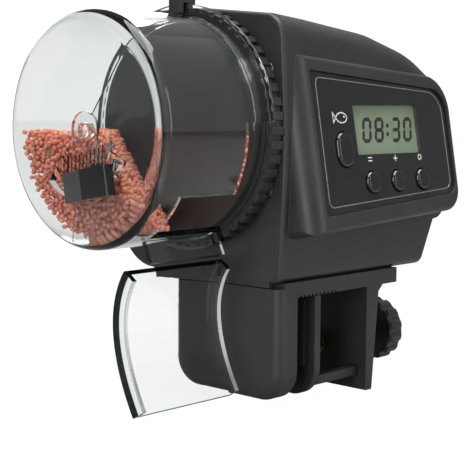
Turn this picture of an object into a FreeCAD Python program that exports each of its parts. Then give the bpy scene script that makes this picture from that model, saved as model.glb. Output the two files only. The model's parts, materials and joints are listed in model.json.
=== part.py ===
import FreeCAD, Part
import math
import os
import re

import Sketcher
from FreeCAD import Placement, Rotation, Vector

# Automatic fish feeder that clamps on a tank rim. All sizes are in millimetres.
# They are worked out about the drum's axis: X along the axis from the drum to the housing,
# Y towards the back, Z up, and zero where the axis meets the housing's end face.
# Each sub-part's Placement then carries it to the rim seat, which is the part's origin.

doc = FreeCAD.newDocument("feeder")
sheet = doc.addObject("Spreadsheet::Sheet", "Sizes")

sizeTable = [
    # housing
    ("bodyLength", 76.4), ("bodyTop", 34.2), ("bodyBottom", 42.0), ("bodyFront", 32.4), ("bodyBulge", 34.6),
    ("bodyBack", 33.0), ("crownTilt", 5.7), ("bodyShoulder", 3.0), ("bodyBrow", 14.0), ("bodyBrowHeight", 33.2),
    ("bodySlope", 41.0), ("bodySlopeHeight", 30.2), ("bodyEave", 61.0), ("bodyEaveHeight", 25.0),
    ("bodyEndHeight", 17.8), ("bodyWaist", 27.5), ("bodyWaistDrop", 0.8), ("waistRound", 4.0), ("bodyEndLean", 3.0),
    ("bodyWaistLength", 71.0), ("bodyFootLength", 65.5), ("topRound", 7.0), ("backRound", 7.0),
    ("backFootRound", 14.0), ("footRound", 2.5), ("endRound", 8.0), ("slopeRound", 40.0), ("bulgeRound", 250.0),
    ("shellWall", 2.0), ("backWall", 3.0), ("roofWall", 3.0), ("endPlate", 2.2), ("endBevel", 0.9),
    # clearances
    ("gap", 0.3), ("slip", 0.05), ("press", 0.02), ("seamGap", 0.1),
    # drum
    ("drumRadius", 32.0), ("drumLength", 35.9), ("tableGap", 0.4), ("drumWall", 1.6), ("drumEndWall", 1.8),
    ("drumRound", 4.0), ("flangeRadius", 34.8), ("flangeThick", 2.3), ("outletLength", 25.0),
    ("outletStart", 122.0), ("outletEnd", 152.0), ("outletHigh", 86.0), ("lipReach", 6.2), ("lipThick", 1.5),
    ("lipTurn", 2.8),
    # drum's end face
    ("combStart", 6.4), ("combPitch", 1.6), ("combCount", 11), ("combWidth", 0.7), ("combHeight", 0.8),
    ("combTop", 6.8), ("combRise", 3.2), ("combFoot", 13.5), ("slotRadius", 17.0), ("slotWidth", 3.0),
    ("slotStart", 117.0), ("slotSpan", 105.0), ("slotRim", 1.6), ("pivotRadius", 2.0), ("pivotLength", 3.2),
    # portion slider and gate
    ("sliderTop", 10.6), ("sliderHeight", 8.0), ("sliderWidth", 20.2), ("sliderThick", 2.9), ("sliderShift", 2.6),
    ("sliderTurn", 10.0), ("sliderWedge", 10.0), ("sliderEdge", 0.5), ("sliderNub", 0.9), ("nubOut", 8.0),
    ("neckSpan", 14.0), ("neckAngle", 160.0), ("gateThick", 0.8), ("gateSpan", 52.0), ("gateStart", 38.0),
    ("gateEnd", 190.0), ("gateHub", 5.0), ("gateHubRise", 0.8),
    # turntable and its shaft
    ("tableRadius", 33.9), ("tableThick", 4.4), ("tableGrooveRadius", 31.0), ("tableGrooveWidth", 0.8),
    ("tableGrooveDepth", 0.6), ("tableWeb", 2.4), ("plugRise", 0.6), ("tableRim", 4.0), ("knurlCount", 54), ("knurlDepth", 0.9),
    ("knurlWidth", 1.7), ("catchWidth", 4.6), ("catchTop", 36.6), ("catchReach", 1.6), ("catchRoot", 2.0),
    ("shaftRadius", 6.0), ("shaftEnd", 13.0), ("shaftBlind", 2.0), ("bushRadius", 8.0), ("bushLength", 6.0), ("bushWall", 2.2),
    # gear train
    ("gearModule", 0.6), ("driveTeeth", 60), ("idlerTeeth", 12), ("reductionTeeth", 36), ("pinionTeeth", 10),
    ("gearStart", 7.0), ("driveWidth", 3.0), ("wheelWidth", 2.4), ("camRadius", 8.4), ("camWidth", 2.4), ("camNotch", 1.5),
    ("pinRadius", 1.5), ("rotorRadius", 1.0), ("plateStart", 14.0), ("plateThick", 1.6), ("plateMargin", 1.0),
    ("standoffRadius", 2.6), ("pinWall", 2.0), ("pinSeat", 0.8),
    ("standoffRoom", 1.1), ("standoffTurn", 19.65), ("wheelGap", 0.4),
    ("switchWidth", 12.0), ("switchHeight", 6.0), ("switchGap", 2.0), ("leverGap", 0.5), ("leverWidth", 1.6),
    ("motorRadius", 10.0), ("motorFlat", 7.5), ("motorLength", 21.0), ("motorCap", 4.2), ("motorNose", 3.0),
    ("tabLength", 3.0), ("tabOut", 4.0), ("tabWidth", 2.4),
    # screws
    ("screwRadius", 1.25), ("screwHead", 2.6), ("screwHeadHeight", 1.6), ("screwLength", 8.0), ("bossRadius", 3.4),
    ("bossOut", 27.0), ("bossUp", 16.0), ("bossLength", 10.0), ("bossWeb", 2.0), ("sinkWeb", 0.7),
    ("washerRim", 1.2), ("washerThick", 1.2), ("slotDepth", 0.6), ("shaftScrewLength", 9.0),
    # control pod, measured in its tilted face: across, and up from mid height
    ("podTilt", 10.5), ("podFront", 37.9), ("podLeft", 2.5), ("podTop", 21.4), ("podRight", 74.2),
    ("podTopRight", 15.7), ("podFootRight", 73.4), ("podLow", 24.8), ("podBottom", 28.6), ("podDepth", 17.0),
    ("podEdge", 1.5), ("podLeftRound", 5.6), ("podTopRound", 11.0), ("podFootRound", 7.0), ("podRound", 2.5),
    ("panelLeft", 8.5), ("panelTop", 16.9), ("panelRight", 72.4), ("panelTopRight", 11.7), ("panelFootRight", 71.8),
    ("panelLow", 19.8), ("panelBottom", 23.8), ("panelThick", 1.2), ("panelSink", 0.8), ("panelFloor", 1.5),
    ("panelRound", 1.2), ("panelTopRound", 8.0), ("panelFootRound", 4.0),
    ("glassLeft", 26.3), ("glassWidth", 30.4), ("glassHeight", 14.4), ("glassUp", 0.1), ("glassMargin", 0.8),
    ("glassThick", 1.8),
    ("feedAcross", 20.4), ("feedUp", -5.4), ("feedWidth", 6.8), ("feedHeight", 9.8),
    ("keyAcross", 31.4), ("keyPitch", 12.05), ("keyUp", -15.0), ("keyRadius", 3.1), ("keyProud", 0.2),
    ("keyRim", 1.1), ("keyRimThick", 0.9), ("keyTravel", 0.8), ("keyDome", 0.9), ("stemRadius", 1.6),
    ("boardDepth", 9.0), ("boardThick", 1.6), ("boardLeft", 16.8), ("boardRight", 68.5), ("boardTop", 9.2),
    ("boardBottom", 20.4), ("postRadius", 2.2), ("postInset", 2.8), ("postBore", 5.2), ("tactSize", 6.0), ("tactHeight", 1.9),
    ("tactNub", 0.4), ("chipLeft", 30.0), ("chipWidth", 14.0), ("chipBottom", 8.0), ("chipHeight", 10.0),
    ("chipThick", 1.6),
    # batteries
    ("cellRadius", 7.15), ("cellLength", 50.0), ("cellDepth", 21.6), ("cellMiddle", 4.0), ("bayStart", 12.5),
    ("bayEndRoom", 2.4), ("bayWall", 1.2), ("doorThick", 1.5), ("doorBorder", 2.2), ("doorEnd", 70.5),
    ("gripCount", 6), ("gripPitch", 1.8), ("springRadius", 3.2), ("springWire", 0.4),
    ("springTurns", 2.5), ("contactThick", 0.4), ("contactHalf", 4.6), ("noseRadius", 2.7), ("noseLength", 1.4),
    # rim clamp
    ("clampFront", 32.5), ("clampBack", 10.0), ("plateHeight", 4.5), ("clampLength", 53.5), ("jawThick", 7.6),
    ("jawDrop", 29.3), ("jawCorner", 8.5), ("jawEdge", 3.0), ("toothPitch", 1.7), ("toothCount", 10),
    ("toothDepth", 0.6), ("padThick", 0.8), ("movingStart", 15.8), ("movingThick", 2.4), ("movingDrop", 29.8),
    ("outerStart", 39.0), ("outerThick", 5.6), ("outerFoot", 2.8), ("outerDrop", 31.3),
    ("footStrip", 1.4), ("stripFront", 28.5), ("stripBack", 18.0),
    ("rodRadius", 3.0), ("rodDrop", 19.0), ("nutRadius", 5.0), ("socketRadius", 5.5), ("socketLength", 2.8),
    ("threadPitch", 3.0), ("threadDepth", 0.5),
    ("knobRadius", 10.0), ("knobStart", 67.0), ("knobThick", 6.6), ("knobLobes", 14), ("knobLobe", 1.5),
    ("guideDrop", 24.5), ("guideSize", 2.6), ("guideEnd", 42.5), ("guideInset", 3.4),
    # chute
    ("chuteStart", 3.6), ("chuteLength", 36.4), ("chuteThick", 1.6), ("chuteRim", 2.6), ("chuteRimWidth", 1.5),
    ("chuteTop", 37.2), ("chuteTopOut", 15.2), ("chuteMid", 50.0), ("chuteMidOut", 11.0), ("chuteLow", 62.0),
    ("chuteLowOut", 13.0), ("chuteFoot", 74.0), ("chuteFootOut", 18.6),
]
for row, (word, size) in enumerate(sizeTable, start=1):
    sheet.set(f"A{row}", word)
    sheet.set(f"B{row}", str(size))
    sheet.setAlias(f"B{row}", word)
sizeNames = {word for word, size in sizeTable}
doc.recompute()

# Where the rim seat lies: mid way between the jaws, mid width of the clamp, under its top plate.
seatShift = {
    "x": "-(jawThick + padThick + movingStart - padThick) / 2",
    "y": "(clampFront - clampBack) / 2",
    "z": "bodyBottom + plateHeight",
}
subparts = []


def cell(word):
    return float(getattr(sheet, word))


def bind(item, prop, text):
    """Sets a property from an expression in the sheet's words."""
    words = re.sub(r"[A-Za-z]\w*", lambda found: "Sizes." + found[0] if found[0] in sizeNames else found[0], text)
    item.setExpression(prop, words)


def place(item, x="0", y="0", z="0"):
    for axis, text in zip("xyz", (x, y, z)):
        bind(item, "Placement.Base." + axis, text)
    return item


def subpart(item, label, x="0", y="0", z="0"):
    """Names a finished piece and carries it from the drum's axis to the rim seat."""
    item.Label = label
    for axis, text in zip("xyz", (x, y, z)):
        bind(item, "Placement.Base." + axis, f"{text} + {seatShift[axis]}")
    subparts.append(item)
    return item


def tilted(item):
    """Turns a piece drawn flat, across and up, into the control pod's tilted face."""
    item.Placement = Placement(Vector(), Rotation(Vector(1, 0, 0), 90))
    bind(item, "Placement.Rotation.Angle", "90 - podTilt")
    bind(item, "Placement.Base.y", "-podFront")
    return item


def onPod(item, label):
    tilted(item)
    return subpart(item, label, y="-podFront")


def join(kind, name, items):
    item = doc.addObject("Part::" + kind, name)
    if kind == "Cut":
        item.Base, item.Tool = items
    else:
        item.Shapes = items
    return item


def cut(name, base, *tools):
    tool = tools[0] if len(tools) == 1 else join("MultiFuse", name + "Tools", list(tools))
    return join("Cut", name, [base, tool])


def fuse(name, *items):
    if len(items) > 1:
        return join("MultiFuse", name, list(items))
    item = doc.addObject("Part::Compound", name)
    item.Links = list(items)
    return item


def common(name, *items):
    return join("MultiCommon", name, list(items))


def block(name, x, y, z):
    """A box between two expressions along each axis."""
    item = doc.addObject("Part::Box", name)
    for prop, axis, (low, high) in (("Length", "x", x), ("Width", "y", y), ("Height", "z", z)):
        bind(item, prop, f"({high}) - ({low})")
        bind(item, "Placement.Base." + axis, low)
    return item


def rod(name, axis, radius, span, centre):
    """A cylinder along X, Y or Z between two expressions, round the other two coordinates."""
    item = doc.addObject("Part::Cylinder", name)
    bind(item, "Radius", radius)
    bind(item, "Height", f"({span[1]}) - ({span[0]})")
    turn = {"x": Rotation(Vector(0, 1, 0), 90), "y": Rotation(Vector(1, 0, 0), -90), "z": Rotation()}[axis]
    item.Placement = Placement(Vector(), turn)
    spots = dict(zip([a for a in "xyz" if a != axis], centre))
    spots[axis] = span[0]
    return place(item, spots["x"], spots["y"], spots["z"])


def outline(body, plane, points, start="0"):
    """A closed outline of straight sides on one of the body's origin planes, each corner bound to the sheet."""
    sketch = body.newObject("Sketcher::SketchObject", "outline")
    base = next(item for item in body.Origin.OriginFeatures if item.Role == plane + "_Plane")
    sketch.AttachmentSupport = [(base, "")]
    sketch.MapMode = "FlatFace"
    bind(sketch, "AttachmentOffset.Base.z", start)
    count = len(points)
    spots = [Vector(20 * math.cos(2 * math.pi * i / count), 20 * math.sin(2 * math.pi * i / count), 0)
             for i in range(count)]
    sketch.addGeometry([Part.LineSegment(spots[i], spots[(i + 1) % count]) for i in range(count)], False)
    for i in range(count):
        sketch.addConstraint(Sketcher.Constraint("Coincident", i, 2, (i + 1) % count, 1))
    for i, (across, up) in enumerate(points):
        for axis, text in (("X", across), ("Y", up)):
            index = sketch.addConstraint(Sketcher.Constraint("Distance" + axis, -1, 1, i, 1,
                                                             spots[i].x if axis == "X" else spots[i].y))
            sketch.renameConstraint(index, f"{axis.lower()}{i}")
            bind(sketch, f"Constraints.{axis.lower()}{i}", text)
    return sketch


def padded(name, plane, points, span, rounds=None):
    """An outline given depth along its plane's normal, with chosen corners rounded."""
    body = doc.addObject("PartDesign::Body", name)
    sketch = outline(body, plane, points, span[0])
    pad = body.newObject("PartDesign::Pad", "pad")
    pad.Profile = sketch
    bind(pad, "Length", f"({span[1]}) - ({span[0]})")
    doc.recompute()
    for radius, corners in (rounds or {}).items():
        marks = [sketch.Placement.multVec(sketch.Geometry[i].StartPoint) for i in corners]
        shape = body.Tip.Shape
        normal = sketch.Placement.Rotation.multVec(Vector(0, 0, 1))
        names = []
        for number, edge in enumerate(shape.Edges, start=1):
            if len(edge.Vertexes) == 2 and edge.Curve.TypeId == "Part::GeomLine":
                if abs(abs(edge.tangentAt(edge.FirstParameter).dot(normal)) - 1) < 1e-6:
                    here = edge.Vertexes[0].Point
                    if any((here - mark - normal * (here - mark).dot(normal)).Length < 1e-4 for mark in marks):
                        names.append(f"Edge{number}")
        last = body.Tip
        fillet = body.newObject("PartDesign::Fillet", "round")
        fillet.Base = (last, names)
        bind(fillet, "Radius", radius)
        doc.recompute()
    return body


def turned(name, points):
    """An outline of along and radius, turned once round the X axis."""
    body = doc.addObject("PartDesign::Body", name)
    sketch = outline(body, "XY", points)
    turn = body.newObject("PartDesign::Revolution", "turn")
    turn.Profile = sketch
    turn.ReferenceAxis = (sketch, ["H_Axis"])
    turn.Angle = 360
    doc.recompute()
    return body


def edgeRound(body, radius, test, kind="Fillet"):
    """Rounds or bevels the edges that the test picks on the body's last feature."""
    last = body.Tip
    names = [f"Edge{i}" for i, edge in enumerate(last.Shape.Edges, start=1) if test(edge)]
    fillet = body.newObject("PartDesign::" + kind, "edge")
    fillet.Base = (last, names)
    bind(fillet, "Radius" if kind == "Fillet" else "Size", radius)
    doc.recompute()
    return body


def aroundAxis(body, feature, count, spread="360"):
    """Repeats a feature round the body's X axis and makes the pattern the body's result."""
    axis = next(item for item in body.Origin.OriginFeatures if item.Role == "X_Axis")
    pattern = body.newObject("PartDesign::PolarPattern", "ring")
    pattern.Originals = [feature]
    pattern.Axis = (axis, [""])
    bind(pattern, "Angle", spread)
    bind(pattern, "Occurrences", count)
    body.Tip = pattern
    doc.recompute()
    return body


def carve(body, plane, points, span):
    """Takes an outline's depth out of the body, along the plane's normal from its start."""
    sketch = outline(body, plane, points, span[0])
    pocket = body.newObject("PartDesign::Pocket", "carve")
    pocket.Profile = sketch
    pocket.Reversed = True
    bind(pocket, "Length", f"({span[1]}) - ({span[0]})")
    doc.recompute()
    return pocket


def solid(name, shape):
    item = doc.addObject("Part::Feature", name)
    item.Shape = shape
    return item


def sector(inner, outer, low, high, start, sweep):
    """A ring's sector along X; angles are counted from straight up towards the front."""
    ring = Part.makeCylinder(outer, high - low, Vector(low, 0, 0), Vector(1, 0, 0), sweep)
    if inner > 0:
        ring = ring.cut(Part.makeCylinder(inner, high - low, Vector(low, 0, 0), Vector(1, 0, 0)))
    return ring.rotate(Vector(), Vector(1, 0, 0), start)


tableFace = "(-tableGap - tableThick)"
mouth = f"({tableFace} - flangeThick)"
drumEnd = f"({mouth} - drumLength)"
endInside = f"({drumEnd} + drumEndWall)"
frontTop = "(bodyTop - bodyFront * tan(crownTilt))"
midHeight = "((bodyTop - bodyBottom) / 2)"


def housingVolume(name, inset, back, roof, start):
    """The housing's outer or inner volume: outlines from the end, the front and the top, in common."""
    reach = 1.25
    beyond = 10
    front = f"-bodyFront + {inset}"
    section = padded(name + "Section", "YZ", [
        (f"-bodyBulge + {inset} + (bodyBulge - bodyFront) * {reach}",
         f"{midHeight} + ({frontTop} - {midHeight}) * {reach}"),
        (f"bodyBack - {back}", f"bodyTop + {beyond}"), (f"bodyBack - {back}", f"-bodyBottom + {inset}"),
        (front, f"-bodyBottom + {inset}"), (f"-bodyBulge + {inset}", midHeight)], (start, "bodyLength"),
        {f"backFootRound - {back}": [2], "footRound": [3], "bulgeRound": [4]})
    ridge = [("-1", f"bodyTop - {roof}"), ("bodyShoulder", f"bodyTop - {roof}"),
             ("bodyBrow", f"bodyBrowHeight - {roof}"), ("bodySlope", f"bodySlopeHeight - {roof}"),
             ("bodyEave", f"bodyEaveHeight - {roof}")]
    depth = (f"-bodyBack - {beyond}", f"bodyBulge + {beyond}")
    side = padded(name + "Side", "XZ", ridge + [
        (f"bodyLength - bodyEndLean - {inset}", f"bodyEndHeight - {roof}"), (f"bodyLength - {inset}", "-bodyWaist"),
        (f"bodyWaistLength - {inset}", f"-bodyWaist - bodyWaistDrop + {inset} / 2"),
        (f"bodyFootLength - {inset}", f"-bodyBottom + {inset}"), ("-1", f"-bodyBottom + {inset}")],
        depth, {"slopeRound": [1, 2, 3, 4], "waistRound": [6]})
    fall = "(bodyEaveHeight - bodyEndHeight) / (bodyLength - bodyEndLean - bodyEave)"
    slant = padded(name + "Slant", "XZ", ridge + [
        (f"bodyLength + {beyond}", f"bodyEaveHeight - {roof} - (bodyLength + {beyond} - bodyEave) * {fall}"),
        (f"bodyLength + {beyond}", f"-bodyBottom - {beyond}"), ("-1", f"-bodyBottom - {beyond}")],
        depth, {"slopeRound": [1, 2, 3, 4]})
    slant.Placement = Placement(Vector(), Rotation(Vector(1, 0, 0), 1))
    bind(slant, "Placement.Rotation.Angle", "crownTilt")
    plan = padded(name + "Plan", "XY", [
        ("-1", f"-bodyBulge - {beyond}"), (f"bodyLength - {inset}", f"-bodyBulge - {beyond}"),
        (f"bodyLength - {inset}", f"bodyBack - {back}"), ("-1", f"bodyBack - {back}")],
        (f"-bodyBottom - {beyond}", f"bodyTop + {beyond}"), {f"endRound - {inset}": [2]})
    return common(name, section, side, slant, plan)


def steepness(face, point):
    return abs(face.normalAt(*face.Surface.parameter(point)).z)


def roofRounded(name, volume):
    """Rounds the edges where the roof meets the front and the back."""
    doc.recompute()
    shape = volume.Shape
    first = shape.BoundBox.XMin
    side = cell("bodyBack") / 2
    edges = []
    for number, edge in enumerate(shape.Edges, start=1):
        middle = edge.valueAt((edge.FirstParameter + edge.LastParameter) / 2)
        if middle.z < 0 or middle.x < first + 1e-3 or min(abs(v.Point.y) for v in edge.Vertexes) < side:
            continue
        slopes = sorted(steepness(face, middle) for face in shape.Faces if any(edge.isSame(e) for e in face.Edges))
        if slopes[0] < 0.4 and slopes[-1] > 0.75:
            edges.append((number, cell("topRound"), cell("topRound")))
    item = doc.addObject("Part::Fillet", name)
    item.Base = volume
    item.Edges = edges
    return item


podOutline = [("podLeft", "podTop"), ("podRight", "podTopRight"), ("podFootRight", "-podLow"),
              ("podLeft", "-podBottom")]
panelOutline = [("panelLeft", "panelTop"), ("panelRight", "panelTopRight"), ("panelFootRight", "-panelLow"),
                ("panelLeft", "-panelBottom")]
panelRounds = {"panelRound": [0, 3], "panelTopRound": [1], "panelFootRound": [2]}


def inset(points, amount):
    """Moves an outline's four corners in; they run from the top left, clockwise."""
    ways = (("+", "-"), ("-", "-"), ("-", "+"), ("+", "+"))
    return [(f"{x} {across} {amount}", f"{y} {up} {amount}") for (x, y), (across, up) in zip(points, ways)]


# drum
def makeDrum():
    shell = turned("drumShell", [
        (drumEnd, "0"), (drumEnd, "drumRadius"), (mouth, "drumRadius"), (mouth, "flangeRadius"),
        (tableFace, "flangeRadius"), (tableFace, "drumRadius - drumWall"), (endInside, "drumRadius - drumWall"),
        (endInside, "0")])
    high = -cell("tableGap")
    front = high - cell("tableThick") - cell("flangeThick")
    end = front - cell("drumLength")
    edgeRound(shell, "drumRound",
              lambda e: e.Curve.TypeId == "Part::GeomCircle" and abs(e.Curve.Center.x - end) < 1e-4)
    pivot = rod("drumPivot", "x", "pivotRadius", (endInside, f"{endInside} + pivotLength"), ("0", "0"))
    marks = []
    for number in range(int(cell("combCount"))):
        share = number / (cell("combCount") - 1)
        top = cell("combTop") - cell("combRise") * share ** 2
        marks.append(Part.makeBox(cell("combHeight"), cell("combWidth"), cell("combFoot") - top,
                                  Vector(end - cell("combHeight"), cell("combStart") - number * cell("combPitch"),
                                         -cell("combFoot"))))
    inner = cell("slotRadius") - cell("slotWidth") / 2
    outer = inner + cell("slotWidth")
    rim = cell("slotRim")
    rimTurn = math.degrees(rim / cell("slotRadius"))
    marks.append(sector(inner - rim, outer + rim, end - cell("combHeight"), end, cell("slotStart") - rimTurn,
                        cell("slotSpan") + 2 * rimTurn))
    comb = solid("drumComb", marks[0].fuse(marks[1:]))
    slot = solid("drumSlot", sector(inner, outer, end - 2 * cell("combHeight"), end + 2 * cell("drumEndWall"),
                                    cell("slotStart"), cell("slotSpan")))
    # the outlet: a sector cut through the wall and the flange, reaching higher beside the flange
    reach = cell("flangeRadius") + cell("drumWall")
    wide = sector(cell("drumRadius") / 2, reach, front - cell("outletLength"), high, cell("outletStart"),
                  cell("outletEnd") - cell("outletStart"))
    near = sector(cell("drumRadius") / 2, reach, front - cell("outletLength") / 5, high, cell("outletHigh"),
                  cell("outletEnd") - cell("outletHigh"))
    outlet = solid("drumOutlet", wide.fuse(near))
    lip = Part.makeBox(cell("outletLength") + cell("flangeThick"), cell("lipThick"),
                       cell("lipReach") + cell("drumWall"),
                       Vector(front - cell("outletLength"), -cell("lipThick"), cell("drumRadius") - cell("drumWall")))
    lip.rotate(Vector(), Vector(1, 0, 0), cell("outletEnd") + cell("lipTurn"))
    spout = solid("drumLip", lip)
    body = cut("drumCut", fuse("drumBody", shell, comb), slot, outlet)
    return subpart(fuse("drumWhole", body, pivot, spout), "food_drum")


sliderBack = f"({drumEnd} - combHeight - gap)"


def makeSlider():
    """A wedge-ended block outside the drum's end; its neck runs in the slot to the gate."""
    outside = f"{sliderBack} - sliderThick"
    left, right = "sliderWidth / 2 - sliderShift", "-sliderWidth / 2 - sliderShift"
    base = padded("sliderBlock", "XY", [
        (sliderBack, left), (f"{sliderBack} - sliderEdge", left), (outside, f"{left} - sliderWedge"),
        (outside, right), (sliderBack, right)], ("-sliderTop - sliderHeight", "-sliderTop"), {"sliderEdge": [2, 3]})
    nub = rod("sliderNubRod", "x", "sliderNub", (f"{outside} + sliderEdge", sliderBack), ("-nubOut", "-sliderTop"))
    whole = fuse("sliderSolid", base, nub)
    whole.Placement = Placement(Vector(), Rotation(Vector(1, 0, 0), -1))
    bind(whole, "Placement.Rotation.Angle", "-sliderTurn")
    back = -cell("tableGap") - cell("tableThick") - cell("flangeThick") - cell("drumLength") - cell("combHeight")
    middle = cell("slotRadius")
    half = cell("slotWidth") / 2 - cell("gap")
    neck = solid("sliderNeck", sector(middle - half, middle + half, back - 2 * cell("gap"),
                                      back + cell("combHeight") + cell("drumEndWall") + cell("gap"),
                                      cell("neckAngle") - cell("neckSpan") / 2, cell("neckSpan")))
    return subpart(fuse("slider", whole, neck), "portion_slider")


def makeGate():
    """The portion gate: a sector plate inside the drum's end, with a curved wall over the outlet."""
    mouthSide = -cell("tableGap") - cell("tableThick") - cell("flangeThick")
    start = mouthSide - cell("drumLength") + cell("drumEndWall") + cell("gap")
    radius = cell("drumRadius") - cell("drumWall") - cell("gap")
    plate = sector(0, radius, start, start + cell("gateThick"), cell("gateStart"), cell("gateEnd") - cell("gateStart"))
    hub = Part.makeCylinder(cell("gateHub"), cell("gateThick") + cell("gateHubRise"), Vector(start, 0, 0),
                            Vector(1, 0, 0))
    wall = sector(radius - cell("gateThick"), radius, start, mouthSide - cell("gateThick"), cell("gateStart"),
                  cell("gateSpan"))
    bore = Part.makeCylinder(cell("pivotRadius") + cell("slip"), cell("drumLength"), Vector(mouthSide, 0, 0),
                             Vector(-1, 0, 0))
    return subpart(solid("gate", plate.fuse([hub, wall]).cut(bore)), "portion_gate")


# turntable and gear train
def makeTurntable():
    face = tableFace
    plug = f"{mouth} - plugRise"
    groove = "tableGrooveRadius"
    disc = turned("tableDisc", [
        (plug, "0"), (plug, "drumRadius - drumWall - gap"), (face, "drumRadius - drumWall - gap"),
        (face, groove), (f"{face} + tableGrooveDepth", groove),
        (f"{face} + tableGrooveDepth", f"{groove} + tableGrooveWidth"),
        (face, f"{groove} + tableGrooveWidth"), (face, "tableRadius"), ("-tableGap", "tableRadius"),
        ("-tableGap", "tableRadius - tableRim"), (f"{face} + tableWeb", "tableRadius - tableRim"),
        (f"{face} + tableWeb", "shaftRadius"), ("shaftEnd", "shaftRadius"), ("shaftEnd", "screwRadius + slip"),
        ("shaftBlind", "screwRadius + slip"), ("shaftBlind", "0")])
    notch = carve(disc, "YZ", [
        ("-knurlWidth / 2", "tableRadius - knurlDepth"), ("knurlWidth / 2", "tableRadius - knurlDepth"),
        ("knurlWidth / 2", "tableRadius + 1"), ("-knurlWidth / 2", "tableRadius + 1")], (f"{face} - 1", "1"))
    aroundAxis(disc, notch, "knurlCount")
    across = ("-catchWidth / 2", "catchWidth / 2")
    roof = block("catchRoof", (f"{mouth} - catchReach", f"{face} + catchRoot"), across,
                 ("flangeRadius + gap", "catchTop"))
    lip = block("catchLip", (f"{mouth} - catchReach", f"{mouth} - gap"), across, ("drumRadius + gap", "catchTop"))
    root = block("catchRoot", (face, f"{face} + catchRoot"), across, ("tableRadius - tableRim", "catchTop"))
    return subpart(fuse("turntableWhole", disc, roof, lip, root), "turntable")


def gear(name, teeth, start, width):
    """A spur gear round X: a blank and one straight-flanked tooth, repeated."""
    pitch = f"(gearModule * {teeth} / 2)"
    foot = f"({pitch} - 1.2 * gearModule)"
    blank = turned(name, [(start, "0"), (start, foot), (f"{start} + {width}", foot), (f"{start} + {width}", "0")])
    half = "(gearModule * 3.1416 / 4)"
    tooth = blank.newObject("PartDesign::Pad", "tooth")
    tooth.Profile = outline(blank, "YZ", [
        (f"-{half} * 1.35", f"{foot} - 0.3"), (f"-{half} * 0.45", f"{pitch} + 0.9 * gearModule"),
        (f"{half} * 0.45", f"{pitch} + 0.9 * gearModule"), (f"{half} * 1.35", f"{foot} - 0.3")], start)
    bind(tooth, "Length", width)
    doc.recompute()
    return aroundAxis(blank, tooth, teeth)


driveX = "gearStart"
wheelX = "(gearStart + driveWidth + wheelGap)"
trainDrop = "(gearModule * (driveTeeth + idlerTeeth) / 2)"
pinionOut = "(gearModule * (reductionTeeth + pinionTeeth) / 2)"
motorStart = "(plateStart + plateThick)"
motorEnd = f"({motorStart} + motorLength)"


def makeDriveGear():
    wheel = gear("driveBlank", "driveTeeth", driveX, "driveWidth")
    cam = rod("driveCam", "x", "camRadius", (driveX, f"{driveX} + driveWidth + camWidth"), ("0", "0"))
    notch = block("driveNotch", (f"{driveX} + driveWidth", f"{driveX} + driveWidth + camWidth + 1"),
                  ("-camNotch", "camNotch"), ("camRadius - camNotch / 2", "camRadius + 1"))
    bore = rod("driveBore", "x", "shaftRadius + slip", ("0", "shaftEnd + 1"), ("0", "0"))
    whole = cut("driveWhole", fuse("driveSolid", wheel, cam), notch, bore)
    whole.Placement = Placement(Vector(), Rotation(Vector(1, 0, 0), 180 / cell("driveTeeth")))
    return subpart(whole, "drive_gear")


def makeShaftScrew():
    washer = rod("shaftWasher", "x", "shaftRadius + washerRim", ("shaftEnd", "shaftEnd + washerThick"), ("0", "0"))
    top = "(shaftEnd + washerThick + screwHeadHeight)"
    dome = rod("shaftScrewDome", "x", "screwHead", ("shaftEnd + washerThick", top), ("0", "0"))
    slot = block("shaftScrewSlot", (f"{top} - slotDepth", f"{top} + 1"), ("-screwHead - 1", "screwHead + 1"),
                 ("-slotDepth / 2", "slotDepth / 2"))
    shank = rod("shaftScrewShank", "x", "screwRadius", ("shaftEnd - shaftScrewLength", "shaftEnd"), ("0", "0"))
    return subpart(cut("shaftScrewWhole", fuse("shaftScrewSolid", washer, dome, shank), slot), "shaft_screw")


def makeIdler():
    pinion = gear("idlerPinion", "idlerTeeth", driveX, "driveWidth + 0.4")
    wheel = gear("idlerWheel", "reductionTeeth", wheelX, "wheelWidth")
    bore = rod("idlerBore", "x", "pinRadius + slip", ("0", "20"), ("0", "0"))
    return subpart(cut("idlerWhole", fuse("idlerSolid", pinion, wheel), bore), "idler_gear", z=f"-{trainDrop}")


def makeMotorPinion():
    wheel = gear("pinionBlank", "pinionTeeth", wheelX, "wheelWidth")
    bore = rod("pinionBore", "x", "rotorRadius + press", ("0", "20"), ("0", "0"))
    return subpart(cut("pinionWhole", wheel, bore), "motor_pinion", y=f"-{pinionOut}", z=f"-{trainDrop}")


def makeMotorShaft():
    shaft = rod("rotorShaft", "x", "rotorRadius", (f"{wheelX} - slip", motorEnd), ("0", "0"))
    return subpart(fuse("rotorWhole", shaft), "motor_shaft", y=f"-{pinionOut}", z=f"-{trainDrop}")


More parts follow.
